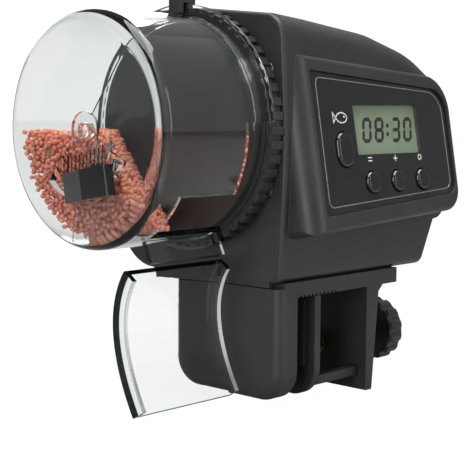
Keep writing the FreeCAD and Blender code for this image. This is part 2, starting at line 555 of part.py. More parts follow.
def makeMotor():
    around = ("-motorRadius - 1", "motorRadius + 1")
    can = rod("motorCan", "x", "motorRadius", (motorStart, motorEnd), ("0", "0"))
    flat = block("motorFlats", (motorStart, motorEnd), around, ("-motorFlat", "motorFlat"))
    nose = rod("motorNose", "x", "motorNose", ("plateStart + gap", motorStart), ("0", "0"))
    bore = rod("motorBore", "x", "rotorRadius + slip", ("plateStart", f"{motorEnd} + 1"), ("0", "0"))
    whole = cut("motorWhole", fuse("motorSolid", common("motorBody", can, flat), nose), bore)
    subpart(whole, "motor_can", y=f"-{pinionOut}", z=f"-{trainDrop}")
    capEnd = f"({motorEnd} + motorCap)"
    end = rod("motorCap", "x", "motorRadius - gap", (motorEnd, capEnd), ("0", "0"))
    flatEnd = block("motorCapFlats", (motorEnd, capEnd), around, ("-motorFlat + gap", "motorFlat - gap"))
    tabs = [block(f"motorTab{side}", (capEnd, f"{capEnd} + tabLength"),
                  (f"{side} * tabOut - tabWidth / 2", f"{side} * tabOut + tabWidth / 2"), ("-gap", "gap"))
            for side in (-1, 1)]
    cap = fuse("motorCapWhole", common("motorCapBody", end, flatEnd), *tabs)
    return subpart(cap, "motor_end_cap", y=f"-{pinionOut}", z=f"-{trainDrop}")


def screwRow(name, label, spots, base, length):
    """A group of equal self-tapping screws along X, their heads sunk in front of the base."""
    pieces = []
    for number, centre in enumerate(spots):
        pieces += [rod(f"{name}Shank{number}", "x", "screwRadius", (base, f"{base} + {length}"), centre),
                   rod(f"{name}Head{number}", "x", "screwHead", (f"{base} - screwHeadHeight", base), centre)]
    return subpart(fuse(name, *pieces), label)


bossSigns = [(a, b) for a in (-1, 1) for b in (-1, 1)]
bossSpots = [(f"{a} * bossOut", f"{b} * bossUp") for a, b in bossSigns]
bayFront = "(cellDepth - cellRadius - gap)"
plateBack = f"({bayFront} - bayWall - gap - slip)"
driveReach = "(gearModule * (driveTeeth / 2 + 0.9) + screwHead + standoffRoom)"
highBack = f"({plateBack} - screwHead - gap)"
highUp = f"sqrt({driveReach} ^ 2 - {highBack} ^ 2)"
lowDrop = f"({trainDrop} + motorRadius + screwHead - standoffRoom)"
standoffSpots = [(f"-{driveReach} * cos(standoffTurn)", f"{driveReach} * sin(standoffTurn)"),
                 (f"-({pinionOut} + motorFlat - gap)", f"-{lowDrop}"), (highBack, highUp)]


# housing
def makeEndFrame():
    plate = padded("endFramePlate", "YZ", [
        ("-bodyFront", frontTop), ("0", "bodyTop"), ("bodyBack", "bodyTop"), ("bodyBack", "-bodyBottom"),
        ("-bodyFront", "-bodyBottom"), ("-bodyBulge", midHeight)], ("0", "endPlate"),
        {"topRound": [0], "backRound": [2], "backFootRound": [3], "footRound": [4], "bulgeRound": [5]})
    edgeRound(plate, "endBevel", lambda e: all(abs(v.Point.x) < 1e-4 for v in e.Vertexes))
    adds = [rod("bushBoss", "x", "bushRadius + bushWall", ("endPlate / 2", "bushLength"), ("0", "0")),
            rod("pinBoss", "x", "pinRadius + pinWall", ("endPlate / 2", f"{driveX} - gap"), ("0", f"-{trainDrop}")),
            block("footStrip", ("0", "endPlate"), ("-stripFront", "stripBack"),
                  ("-bodyBottom - footStrip", "-bodyBottom + 1"))]
    cuts = [rod("bushBore", "x", "bushRadius + press", ("-1", "bushLength + 1"), ("0", "0")),
            rod("pinBore", "x", "pinRadius + press", ("endPlate - pinSeat", driveX), ("0", f"-{trainDrop}"))]
    for number, centre in enumerate(standoffSpots):
        adds.append(rod(f"standoff{number}", "x", "standoffRadius", ("endPlate / 2", "plateStart"), centre))
        cuts.append(rod(f"standoffBore{number}", "x", "screwRadius + slip", ("plateStart - screwLength",
                                                                            "plateStart + 1"), centre))
    for number, centre in enumerate(bossSpots):
        cuts.append(rod(f"endHole{number}", "x", "screwRadius + gap", ("-1", "endPlate + 1"), centre))
        cuts.append(rod(f"endSink{number}", "x", "screwHead + gap", ("-1", "endPlate - sinkWeb"), centre))
    return subpart(cut("endFrame", fuse("endFrameSolid", plate, *adds), *cuts), "end_frame")


def makeBush():
    ring = cut("bushWhole", rod("bushOuter", "x", "bushRadius", ("0", "bushLength"), ("0", "0")),
               rod("bushInner", "x", "shaftRadius + slip", ("-1", "bushLength + 1"), ("0", "0")))
    return subpart(ring, "shaft_bush")


bayLow = "(-cellMiddle - 2 * cellRadius - 2 * gap)"
bayHigh = "(-cellMiddle + 2 * cellRadius + 2 * gap)"
bayEnd = "(bayStart + cellLength + 2 * bayEndRoom)"
cellRows = ["(-cellMiddle - cellRadius - gap / 2)", "(-cellMiddle + cellRadius + gap / 2)"]
keySpots = [("keyAcross", "keyUp"), ("keyAcross + keyPitch", "keyUp"), ("keyAcross + 2 * keyPitch", "keyUp")]
postSpots = [(f"board{side} {way} postInset", up) for side, way in (("Left", "+"), ("Right", "-"))
             for up in ("boardTop - postInset", "-boardBottom + postInset")]
windowAcross = ("glassLeft", "glassLeft + glassWidth")
windowUp = ("glassUp - glassHeight / 2", "glassUp + glassHeight / 2")


def grown(span, amount):
    return (f"{span[0]} - {amount}", f"{span[1]} + {amount}")


def stadium(name, across, up, width, height, low, high):
    """An upright oval prism with straight sides, in the pod's flat frame."""
    rise = f"(({height}) - ({width})) / 2"
    return fuse(name, rod(name + "Top", "z", f"({width}) / 2", (low, high), (across, f"{up} + {rise}")),
                rod(name + "Foot", "z", f"({width}) / 2", (low, high), (across, f"{up} - {rise}")),
                block(name + "Mid", (f"{across} - ({width}) / 2", f"{across} + ({width}) / 2"),
                      (f"{up} - {rise} - 0.001", f"{up} + {rise} + 0.001"), (low, high)))


def podFlat(name, points, low, high, rounds=None):
    return padded(name, "XY", points, (low, high), rounds)


def keyHoles(name):
    """The four holes that the keys move in, and the display's window, through panel and shell."""
    span = ("-boardDepth", "podEdge")
    holes = [stadium(name + "Feed", "feedAcross", "feedUp", "feedWidth + 2 * gap", "feedHeight + 2 * gap", *span),
             block(name + "Window", windowAcross, windowUp, span)]
    return holes + [rod(f"{name}Key{n}", "z", "keyRadius + gap", span, spot) for n, spot in enumerate(keySpots)]


def makeMainShell():
    start = "endPlate + seamGap"
    outer = roofRounded("outerRounded", housingVolume("outer", "0", "0", "0", start))
    inner = housingVolume("inner", "shellWall", "backWall", "roofWall", "-1")
    face = podFlat("pod", podOutline, "-podDepth", "0", {"podTopRound": [1], "podFootRound": [2], "podRound": [0, 3]})
    edgeRound(face, "podEdge", lambda e: all(abs(v.Point.z) < 1e-4 for v in e.Vertexes))
    side = padded("podSide", "XZ", [
        ("podLeft", "-podDepth - 1"), ("podRight + 1", "-podDepth - 1"), ("podRight + 1", "0"), ("podLeft", "0")],
        ("-podTop - 1", "podBottom + 1"), {"podLeftRound": [3]})
    pod = tilted(common("podWhole", face, side))
    hollow = tilted(podFlat("podHollow", inset(podOutline, "shellWall"), "-podDepth - shellWall",
                            "-panelSink - panelThick - panelFloor",
                            {"podTopRound - shellWall": [1], "podFootRound - shellWall": [2]}))
    recess = tilted(podFlat("podRecess", panelOutline, "-panelSink - panelThick", "podEdge", panelRounds))
    holes = tilted(fuse("keyHoles", *keyHoles("shell")))
    posts = [rod(f"post{n}", "z", "postRadius", ("-boardDepth", "-panelSink - panelThick"), spot)
             for n, spot in enumerate(postSpots)]
    postBores = [rod(f"postBore{n}", "z", "screwRadius + slip", ("-boardDepth - 1", "-boardDepth + postBore"), spot)
                 for n, spot in enumerate(postSpots)]
    posts = tilted(fuse("posts", *posts))
    postBores = tilted(fuse("postBores", *postBores))
    bosses = [rod(f"boss{n}", "x", "bossRadius", (start, f"{start} + bossLength"), spot)
              for n, spot in enumerate(bossSpots)]
    for n, (out, up) in enumerate(bossSigns):
        across = ("bossOut", "bodyBack - backWall / 2") if out > 0 else ("-bodyFront + shellWall / 2", "-bossOut")
        bosses.append(block(f"bossWeb{n}", (start, f"{start} + bossLength"), across,
                            (f"{up} * bossUp - bossWeb / 2", f"{up} * bossUp + bossWeb / 2")))
    bores = [rod(f"bossBore{n}", "x", "screwRadius + slip", ("0", f"{start} + bossLength - 1"), spot)
             for n, spot in enumerate(bossSpots)]
    bay = block("bay", ("bayStart - bayWall", f"{bayEnd} + bayWall"),
                (f"{bayFront} - bayWall", "bodyBack - backWall / 2"),
                (f"{bayLow} - bayWall", f"{bayHigh} + bayWall"))
    bayRoom = block("bayRoom", ("bayStart", bayEnd), (bayFront, "bodyBack + 5"), (bayLow, bayHigh))
    doorway = block("doorway", ("bayStart - doorBorder", "bodyLength + 5"),
                    ("bodyBack - doorThick - seamGap", "bodyBack + 5"),
                    (f"{bayLow} - doorBorder - seamGap", f"{bayHigh} + doorBorder + seamGap"))
    clampBores = [rod(f"clampBore{n}", "z", "screwRadius + slip", ("-bodyBottom - 1", "-bodyBottom + 7"), spot)
                  for n, spot in enumerate(clampSpots)]
    clampBosses = [rod(f"clampBoss{n}", "z", "bossRadius - 0.6", ("-bodyBottom + 1", "-bodyBottom + 8"), spot)
                   for n, spot in enumerate(clampSpots)]
    shell = cut("shellHollow", fuse("shellOuter", outer, pod), inner, hollow)
    shell = fuse("shellAdds", shell, posts, bay, *bosses, *clampBosses)
    shell = cut("mainShell", shell, recess, holes, postBores, bayRoom, doorway, *bores, *clampBores)
    return subpart(shell, "main_shell")


clampSpots = [("clampLength - 28", "-clampFront + 8"), ("clampLength - 28", "clampBack - 8"),
              ("clampLength - 5.5", "-clampFront + 8"), ("clampLength - 5.5", "clampBack - 8")]


def makePanel():
    """The gloss face plate, its window and the display behind it."""
    low, high = "-panelSink - panelThick", "-panelSink"
    plate = podFlat("panelPlate", inset(panelOutline, "seamGap"), low, high, panelRounds)
    onPod(cut("panel", plate, *keyHoles("panel")), "control_panel")
    paneAcross, paneUp = grown(windowAcross, "-seamGap"), grown(windowUp, "-seamGap")
    onPod(fuse("windowPaneWhole", block("windowPane", paneAcross, paneUp, (low, high))), "lcd_window")
    top = "-panelSink - panelThick - panelFloor"
    rimAcross, rimUp = grown(windowAcross, "glassMargin"), grown(windowUp, "glassMargin")
    step = block("displayStep", paneAcross, paneUp, (top, f"{low} - seamGap"))
    glass = block("displayGlass", rimAcross, rimUp, (f"{top} - glassThick", top))
    onPod(fuse("displayWhole", glass, step), "lcd_glass")
    frame = block("displayFrame", rimAcross, rimUp, ("-boardDepth", f"{top} - glassThick"))
    room = block("displayRoom", grown(windowAcross, "-glassMargin"), grown(windowUp, "-glassMargin"),
                 ("-boardDepth - 1", "0"))
    onPod(cut("displayHolder", frame, room), "lcd_holder")


def makeBoard():
    under = "-boardDepth - boardThick"
    board = block("boardSlab", ("boardLeft", "boardRight"), ("-boardBottom", "boardTop"), (under, "-boardDepth"))
    holes = [rod(f"boardHole{n}", "z", "screwRadius + slip", (f"{under} - 1", "0"), spot)
             for n, spot in enumerate(postSpots)]
    onPod(cut("board", board, *holes), "circuit_board")
    screws = []
    for n, spot in enumerate(postSpots):
        screws += [rod(f"boardShank{n}", "z", "screwRadius", (under, "-boardDepth + postBore - 2 * gap"), spot),
                   rod(f"boardHead{n}", "z", "screwHead - gap", (f"{under} - screwHeadHeight", under), spot)]
    onPod(fuse("boardScrews", *screws), "board_screws")
    tacts = []
    caseTop = "-boardDepth + tactHeight"
    for n, (across, up) in enumerate([("feedAcross", "feedUp")] + keySpots):
        tacts += [block(f"tact{n}", (f"{across} - tactSize / 2", f"{across} + tactSize / 2"),
                        (f"{up} - tactSize / 2", f"{up} + tactSize / 2"), ("-boardDepth", caseTop)),
                  rod(f"tactNub{n}", "z", "stemRadius", (caseTop, f"{caseTop} + tactNub"), (across, up))]
    onPod(fuse("tacts", *tacts), "button_switches")
    chip = block("chip", ("chipLeft", "chipLeft + chipWidth"), ("-chipBottom", "-chipBottom + chipHeight"),
                 (f"{under} - chipThick", under))
    onPod(fuse("chipWhole", chip), "controller_chip")


def makeKeys():
    """Four press buttons; each has a rim behind the pod's floor and a stem over its switch."""
    floor = "(-panelSink - panelThick - panelFloor - seamGap)"
    stemEnd = "(-boardDepth + tactHeight + tactNub + keyTravel + seamGap)"
    under = f"{floor} - keyRimThick"
    names = ["feed_button", "mode_button", "adjust_button", "set_button"]
    for n, (across, up) in enumerate([("feedAcross", "feedUp")] + keySpots):
        if n == 0:
            cap = stadium("keyCap0", across, up, "feedWidth", "feedHeight", floor, "keyProud")
            rim = stadium("keyRim0", across, up, "feedWidth + 2 * keyRim", "feedHeight + 2 * keyRim", under, floor)
        else:
            cap = rod(f"keyCap{n}", "z", "keyRadius", (floor, "keyProud"), (across, up))
            rim = rod(f"keyRim{n}", "z", "keyRadius + keyRim", (under, floor), (across, up))
        stem = rod(f"keyStem{n}", "z", "stemRadius", (stemEnd, floor), (across, up))
        whole = join("MultiFuse", f"keySolid{n}", [cap, rim, stem])
        whole.Refine = True
        doc.recompute()
        domed = doc.addObject("Part::Fillet", f"keyDomed{n}")
        domed.Base = whole
        domed.Edges = [(i, cell("keyDome"), cell("keyDome")) for i, edge in enumerate(whole.Shape.Edges, start=1)
                       if all(abs(v.Point.z - cell("keyProud")) < 1e-4 for v in edge.Vertexes)]
        onPod(domed, names[n])


def makeTrainPlate():
    beyond = f"{motorStart} + 1"
    plate = block("trainPlateSlab", ("plateStart", motorStart), (f"-{pinionOut} - motorRadius - plateMargin", plateBack),
                  (f"-{lowDrop} - standoffRadius", f"{highUp} + standoffRadius + plateMargin"))
    holes = [rod("trainHub", "x", "shaftRadius + 3", (wheelX, beyond), ("0", "0")),
             rod("trainPin", "x", "pinRadius + press", (wheelX, beyond), ("0", f"-{trainDrop}")),
             rod("trainNose", "x", "motorNose + slip", (wheelX, beyond), (f"-{pinionOut}", f"-{trainDrop}"))]
    holes += [rod(f"trainHole{n}", "x", "screwRadius + slip", (wheelX, beyond), spot)
              for n, spot in enumerate(standoffSpots)]
    subpart(cut("trainPlate", plate, *holes), "gear_plate")
    pin = rod("idlerPinRod", "x", "pinRadius", ("endPlate - pinSeat + seamGap", motorStart), ("0", f"-{trainDrop}"))
    subpart(fuse("idlerPinWhole", pin), "idler_pin")
    screws = []
    for n, spot in enumerate(standoffSpots):
        screws += [rod(f"plateShank{n}", "x", "screwRadius", ("plateStart - screwLength + 2", motorStart), spot),
                   rod(f"plateHead{n}", "x", "screwHead", (motorStart, f"{motorStart} + screwHeadHeight"), spot)]
    subpart(fuse("plateScrews", *screws), "gear_plate_screws")
    half = "switchWidth / 2"
    reach = "camRadius + leverGap"
    leaf = (f"{wheelX} + wheelGap", f"{wheelX} + wheelGap + leverWidth")
    case = block("switchCase", (wheelX, "plateStart"), (f"-{half}", half),
                 ("camRadius + switchGap", "camRadius + switchGap + switchHeight"))
    lever = block("switchLever", leaf, (f"-{half}", f"{half} / 2"), (reach, f"{reach} + contactThick"))
    arm = block("switchArm", leaf, (f"-{half}", f"-{half} + 1"), (reach, "camRadius + switchGap + 1"))
    subpart(fuse("homeSwitch", case, lever, arm), "home_switch")


def makeBattery():
    cellStart = "(bayStart + bayEndRoom)"
    cellEnd = f"({cellStart} + cellLength)"
    cells = []
    plates = []
    coils = []
    for n, row in enumerate(cellRows):
        nose = (f"{cellStart} - noseLength", cellStart) if n else (cellEnd, f"{cellEnd} + noseLength")
        cells += [rod(f"cell{n}", "x", "cellRadius", (cellStart, cellEnd), ("cellDepth", row)),
                  rod(f"cellNose{n}", "x", "noseRadius", nose, ("cellDepth", row))]
        for m, span in enumerate((("bayStart", "bayStart + contactThick"), (f"{bayEnd} - contactThick", bayEnd))):
            plates.append(block(f"contact{n}{m}", span, ("cellDepth - contactHalf", "cellDepth + contactHalf"),
                                (f"{row} - contactHalf", f"{row} + contactHalf")))
        room = cell("bayEndRoom") - cell("contactThick") - cell("springWire") * 2
        helix = Part.makeHelix(room / cell("springTurns"), room, cell("springRadius"))
        profile = Part.makeCircle(cell("springWire"), Vector(cell("springRadius"), 0, 0), Vector(0, 1, 0))
        coil = Part.Wire(helix.Edges).makePipeShell([Part.Wire(profile)], True, True)
        coil.rotate(Vector(), Vector(0, 1, 0), 90)
        start = cell("bayStart") + cell("contactThick") + cell("springWire")
        if n:
            start += cell("cellLength") + cell("bayEndRoom") - cell("contactThick")
        middle = -cell("cellMiddle") + (1 if n else -1) * (cell("cellRadius") + cell("gap") / 2)
        coil.translate(Vector(start, cell("cellDepth"), middle))
        coils.append(coil)
    subpart(fuse("cells", *cells), "battery_cells")
    subpart(fuse("contacts", *plates), "battery_contacts")
    subpart(solid("springs", Part.makeCompound(coils)), "battery_springs")


def makeDoor():
    slab = block("doorSlab", ("bayStart - doorBorder + seamGap", "doorEnd"),
                 ("bodyBack - doorThick", "bodyBack"), (f"{bayLow} - doorBorder", f"{bayHigh} + doorBorder"))
    grips = [block(f"doorGrip{n}", (f"doorEnd - 6 - {n} * gripPitch", f"doorEnd - 5.2 - {n} * gripPitch"),
                   ("bodyBack", "bodyBack + 0.5"), ("-cellMiddle - 6", "-cellMiddle + 6"))
             for n in range(int(cell("gripCount")))]
    return subpart(fuse("door", slab, *grips), "battery_cover")


# rim clamp
rimSeat = "(-bodyBottom - plateHeight)"
clampMiddle = "((clampBack - clampFront) / 2)"
rodHeight = f"({rimSeat} - rodDrop)"
guideRows = ["(-clampFront + guideInset)", "(clampBack - guideInset - guideSize)"]


def makeBracket():
    lip = "-bodyBottom - footStrip - gap"
    foot = f"{rimSeat} - jawDrop"
    bracket = padded("bracketBody", "XZ", [
        ("endPlate + gap", "-bodyBottom"), ("clampLength", "-bodyBottom"), ("clampLength", rimSeat),
        ("outerStart + outerThick + 2", rimSeat), ("outerStart + outerThick", f"{rimSeat} - 2"),
        ("outerStart + outerFoot", f"{rimSeat} - outerDrop"), ("outerStart", f"{rimSeat} - outerDrop"),
        ("outerStart", rimSeat), ("jawThick", rimSeat), ("jawThick", foot), ("0", foot), ("0", lip),
        ("endPlate + gap", lip)], ("-clampBack", "clampFront"))
    low = -cell("bodyBottom") - cell("plateHeight") - cell("jawDrop")
    edgeRound(bracket, "jawCorner", lambda e: len(e.Vertexes) == 2 and all(
        abs(v.Point.z - low) < 1e-4 and v.Point.x < cell("jawThick") + 1 for v in e.Vertexes)
        and abs(e.Vertexes[0].Point.y - e.Vertexes[1].Point.y) < 1e-4)
    top = -cell("bodyBottom") - cell("footStrip") - cell("gap")
    edgeRound(bracket, "jawEdge", lambda e: len(e.Vertexes) == 2 and all(abs(v.Point.x) < 1e-4 for v in e.Vertexes)
              and not all(abs(v.Point.z - top) < 1e-4 for v in e.Vertexes))
    cuts = [block(f"tooth{n}", (f"jawThick + 1 + {n} * toothPitch", f"jawThick + 1.8 + {n} * toothPitch"),
                  ("-clampFront - 1", "clampBack + 1"), (f"{rimSeat} - 1", f"{rimSeat} + toothDepth"))
            for n in range(int(cell("toothCount")))]
    cuts.append(rod("nutHole", "x", "nutRadius + press", ("outerStart - 1", "outerStart + outerThick + 3"),
                    (clampMiddle, rodHeight)))
    for n, row in enumerate(guideRows):
        cuts.append(block(f"guideSlot{n}", ("outerStart - 1", "outerStart + outerThick + 3"),
                          (f"{row} - gap", f"{row} + guideSize + gap"),
                          (f"{rimSeat} - guideDrop - guideSize - gap", f"{rimSeat} - guideDrop + gap")))
    for n, spot in enumerate(clampSpots):
        cuts.append(rod(f"bracketHole{n}", "z", "screwRadius + gap", (f"{rimSeat} - 1", "-bodyBottom + 1"), spot))
        cuts.append(rod(f"bracketSink{n}", "z", "screwHead + gap", (f"{rimSeat} - 1", f"{rimSeat} + screwHeadHeight + gap"),
                        spot))
    subpart(cut("bracket", bracket, *cuts), "clamp_bracket")
    screws = []
    for n, spot in enumerate(clampSpots):
        seat = f"({rimSeat} + screwHeadHeight + gap)"
        screws += [rod(f"clampShank{n}", "z", "screwRadius", (seat, f"{seat} + screwLength"), spot),
                   rod(f"clampHead{n}", "z", "screwHead", (f"{seat} - screwHeadHeight", seat), spot)]
    subpart(fuse("clampScrews", *screws), "clamp_screws")
    pad = block("fixedPad", ("jawThick", "jawThick + padThick"), ("-clampFront + 4", "clampBack - 4"),
                (f"{rimSeat} - jawDrop + jawCorner", f"{rimSeat} - 1.5"))
    subpart(fuse("fixedPadWhole", pad), "fixed_jaw_pad")
    nut = cut("nut", rod("nutBody", "x", "nutRadius", ("outerStart", "outerStart + outerThick - 1"),
                         (clampMiddle, rodHeight)),
              rod("nutBore", "x", "rodRadius + slip", ("outerStart - 1", "outerStart + outerThick + 1"),
                  (clampMiddle, rodHeight)))
    subpart(nut, "clamp_nut")


def makeMovingJaw():
    low = f"{rimSeat} - movingDrop"
    plate = padded("movingPlate", "YZ", [
        ("-clampFront + 0.5", f"{rimSeat} - gap"), ("clampBack - 0.5", f"{rimSeat} - gap"),
        ("clampBack - 0.5", low), ("-clampFront + 0.5", low)], ("movingStart", "movingStart + movingThick"),
        {"jawCorner": [2, 3]})
    back = "(movingStart + movingThick)"
    socket = rod("socket", "x", "socketRadius", (back, f"{back} + socketLength"), (clampMiddle, rodHeight))
    hole = rod("socketHole", "x", "rodRadius + slip", (f"{back} - 0.6", f"{back} + socketLength + 1"),
               (clampMiddle, rodHeight))
    bars = [block(f"guideBar{n}", (f"{back} - 0.5", "guideEnd"), (row, f"{row} + guideSize"),
                  (f"{rimSeat} - guideDrop - guideSize", f"{rimSeat} - guideDrop")) for n, row in enumerate(guideRows)]
    subpart(cut("movingWhole", fuse("movingSolid", plate, socket, *bars), hole), "moving_jaw")
    pad = block("movingPad", ("movingStart - padThick", "movingStart"), ("-clampFront + 4", "clampBack - 4"),
                (f"{rimSeat} - jawDrop + jawCorner", f"{rimSeat} - 1.5"))
    subpart(fuse("movingPadWhole", pad), "moving_jaw_pad")


def makeScrew():
    start = "(movingStart + movingThick - 0.3)"
    points = [(start, "0"), (start, "rodRadius")]
    threads = int((cell("knobStart") - cell("movingStart") - cell("movingThick") - 12) / 1.5)
    first = "(movingStart + movingThick + socketLength + 2)"
    for n in range(threads):
        points += [(f"{first} + {n} * threadPitch / 2", "rodRadius"),
                   (f"{first} + {n} * threadPitch / 2 + 0.4", "rodRadius - threadDepth"),
                   (f"{first} + {n} * threadPitch / 2 + 0.9", "rodRadius - threadDepth"),
                   (f"{first} + {n} * threadPitch / 2 + 1.2", "rodRadius")]
    points += [("knobStart + knobThick - 2", "rodRadius"), ("knobStart + knobThick - 2", "0")]
    subpart(turned("screwRod", points), "clamp_screw", y=clampMiddle, z=rodHeight)
    knob = turned("knobBlank", [
        ("knobStart", "rodRadius + press"), ("knobStart", "knobRadius - 0.8"), ("knobStart + 0.8", "knobRadius"),
        ("knobStart + knobThick - 1.2", "knobRadius"), ("knobStart + knobThick", "knobRadius - 1.2"),
        ("knobStart + knobThick", "0"), ("knobStart + knobThick - 2 + press", "0"),
        ("knobStart + knobThick - 2 + press", "rodRadius + press")])
    scallops = []
    for n in range(int(cell("knobLobes"))):
        turn = 2 * math.pi * n / cell("knobLobes")
        reach = cell("knobRadius") + 0.5
        scallop = Part.makeCylinder(cell("knobLobe"), cell("knobThick") + 2,
                                    Vector(cell("knobStart") - 1, reach * math.cos(turn), reach * math.sin(turn)),
                                    Vector(1, 0, 0))
        scallops.append(scallop)
    subpart(cut("knob", knob, solid("knobScallops", Part.makeCompound(scallops))), "clamp_knob",
            y=clampMiddle, z=rodHeight)


# chute
def makeChute():
    """A bent clear sheet under the outlet, with a raised rim at each end and a peg against the end face."""
    spots = [Vector(0, -cell("chuteTopOut"), -cell("chuteTop")), Vector(0, -cell("chuteMidOut"), -cell("chuteMid")),
             Vector(0, -cell("chuteLowOut"), -cell("chuteLow")), Vector(0, -cell("chuteFootOut"), -cell("chuteFoot"))]

    def sheetOf(thick, start, length):
        near = Part.BSplineCurve()
        near.interpolate(spots)
        steps = [near.FirstParameter + (near.LastParameter - near.FirstParameter) * i / 8 for i in range(9)]
        shifted = []
        for step in steps:
            along = near.tangent(step)[0]
            shifted.append(near.value(step) + Vector(0, along.z, -along.y) * thick)
        far = Part.BSplineCurve()
        far.interpolate(shifted)
        ends = [Part.LineSegment(near.value(steps[0]), shifted[0]).toShape(),
                Part.LineSegment(near.value(steps[-1]), shifted[-1]).toShape()]
        face = Part.Face(Part.Wire(Part.__sortEdges__([near.toShape(), far.toShape()] + ends)))
        face.translate(Vector(start, 0, 0))
        return face.extrude(Vector(length, 0, 0))

    last = -cell("chuteStart")
    first = last - cell("chuteLength")
    sheetShape = sheetOf(-cell("chuteThick"), first, cell("chuteLength"))
    rims = [sheetOf(cell("chuteRim"), first, cell("chuteRimWidth")),
            sheetOf(cell("chuteRim"), last - cell("chuteRimWidth"), cell("chuteRimWidth"))]
    peg = Part.makeBox(cell("chuteStart") + 1, 7, 3.2, Vector(last - 1, -cell("chuteTopOut") + 2.2, -41.2))
    return subpart(solid("chuteSheet", sheetShape.fuse(rims + [peg]).removeSplitter()), "food_chute")


makeDrum()
makeSlider()
makeGate()
makeTurntable()
makeDriveGear()
makeShaftScrew()
makeIdler()
makeMotorPinion()
makeMotorShaft()
makeMotor()
makeEndFrame()
makeBush()
screwRow("housingScrews", "housing_screws", bossSpots, "endPlate - sinkWeb", "screwLength")
makeTrainPlate()
makeMainShell()
makePanel()
makeBoard()
makeKeys()
makeBattery()
makeDoor()
makeBracket()
makeMovingJaw()
makeScrew()
makeChute()
doc.recompute()

broken = [f"{item.Name} ({item.Label})" for item in doc.Objects if {"Invalid", "Error"} & set(item.State)]
if broken:
    raise RuntimeError("did not rebuild: " + ", ".join(broken))
os.makedirs("parts", exist_ok=True)
spoilt = [item.Label for item in subparts if item.Shape.isNull() or not item.Shape.isValid()]
if spoilt:
    raise RuntimeError("no valid shape: " + ", ".join(spoilt))
for item in subparts:
    item.Shape.exportStep(f"parts/{item.Label}.step")
print(len(subparts), "sub-parts written")
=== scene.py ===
import json
import math
import random

import bpy
from mathutils import Matrix, Vector


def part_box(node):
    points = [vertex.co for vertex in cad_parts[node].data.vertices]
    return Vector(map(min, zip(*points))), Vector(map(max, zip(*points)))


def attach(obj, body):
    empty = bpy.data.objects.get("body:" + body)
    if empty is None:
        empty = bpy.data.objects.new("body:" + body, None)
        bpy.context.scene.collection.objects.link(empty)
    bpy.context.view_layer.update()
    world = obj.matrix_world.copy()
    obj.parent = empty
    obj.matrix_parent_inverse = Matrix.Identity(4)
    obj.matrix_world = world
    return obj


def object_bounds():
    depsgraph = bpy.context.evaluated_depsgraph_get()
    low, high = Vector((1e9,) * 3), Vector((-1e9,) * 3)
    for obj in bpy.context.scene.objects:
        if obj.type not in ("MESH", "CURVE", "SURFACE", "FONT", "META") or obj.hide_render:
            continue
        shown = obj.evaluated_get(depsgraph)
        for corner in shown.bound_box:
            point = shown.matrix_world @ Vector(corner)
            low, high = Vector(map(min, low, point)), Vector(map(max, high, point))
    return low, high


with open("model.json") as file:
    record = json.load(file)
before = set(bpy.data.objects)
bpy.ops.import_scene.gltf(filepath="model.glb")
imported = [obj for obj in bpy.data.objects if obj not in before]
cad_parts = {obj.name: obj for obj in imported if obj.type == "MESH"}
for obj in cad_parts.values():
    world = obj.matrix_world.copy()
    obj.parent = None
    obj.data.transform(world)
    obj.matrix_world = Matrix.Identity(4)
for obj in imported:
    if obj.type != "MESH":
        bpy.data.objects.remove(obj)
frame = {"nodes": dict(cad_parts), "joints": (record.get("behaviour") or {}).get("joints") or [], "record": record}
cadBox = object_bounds()
mm = 0.001
nodes = frame["nodes"]
joints = {joint["name"]: joint for joint in frame["joints"]}
drumAxis = Vector(joints["drum_spin"]["pos_m"])          # any point of it; the axis runs along X
acrossPod = Vector((1, 0, 0))
outOfPod = -Vector(joints["feed_press"]["axis"]).normalized()
upPod = outOfPod.cross(acrossPod)
print("frame loaded,", len(nodes), "CAD nodes")


view = {"lens": 94.63, "place": (-0.26154, -0.24330, 0.05355), "heading": 46.27, "pitch": 6.05, "roll": 0.28}


def makeCamera():
    camera = bpy.data.objects.new("camera", bpy.data.cameras.new("camera"))
    camera.data.lens = view["lens"]
    camera.data.sensor_width = 36
    camera.data.clip_start = 0.01
    turn = Matrix.Rotation(math.radians(-view["heading"]), 4, "Z")
    tip = Matrix.Rotation(math.radians(90 - view["pitch"]), 4, "X")
    roll = Matrix.Rotation(math.radians(view["roll"]), 4, "Z")
    camera.matrix_world = Matrix.Translation(view["place"]) @ turn @ tip @ roll
    bpy.context.scene.collection.objects.link(camera)
    bpy.context.scene.camera = camera


studio = {
    "sky": (0.97, 0.975, 0.98), "seenPower": 1.12, "givenPower": 0.30,
    "floorDrop": 0.4 * mm, "floorRadius": 6.0, "floorRim": 96, "floorGlow": 0.9,
    "lamps": [              # name, place from the object's middle, size across and up, power in watts
        ("overhead", (0.05, -0.10, 0.80), (0.8, 0.5), 10.0),
        ("frontLeft", (-0.80, -0.30, 0.25), (0.30, 0.9), 4.8),
        ("frontRight", (0.25, -0.95, 0.25), (0.22, 0.8), 2.6),
        ("behind", (0.35, 0.85, 0.45), (0.8, 0.5), 4.0),
    ],
}


def seenDirectly(tree):
    # one for the camera and for what it sees through clear pieces, nought for light and mirrored rays
    path = tree.add("ShaderNodeLightPath").outputs
    bounces = tree.math("ADD", path["Glossy Depth"], path["Diffuse Depth"])
    plain = tree.math("LESS_THAN", bounces, 0.5)
    through = tree.math("MULTIPLY", path["Is Transmission Ray"], plain)
    return tree.math("MAXIMUM", path["Is Camera Ray"], through)


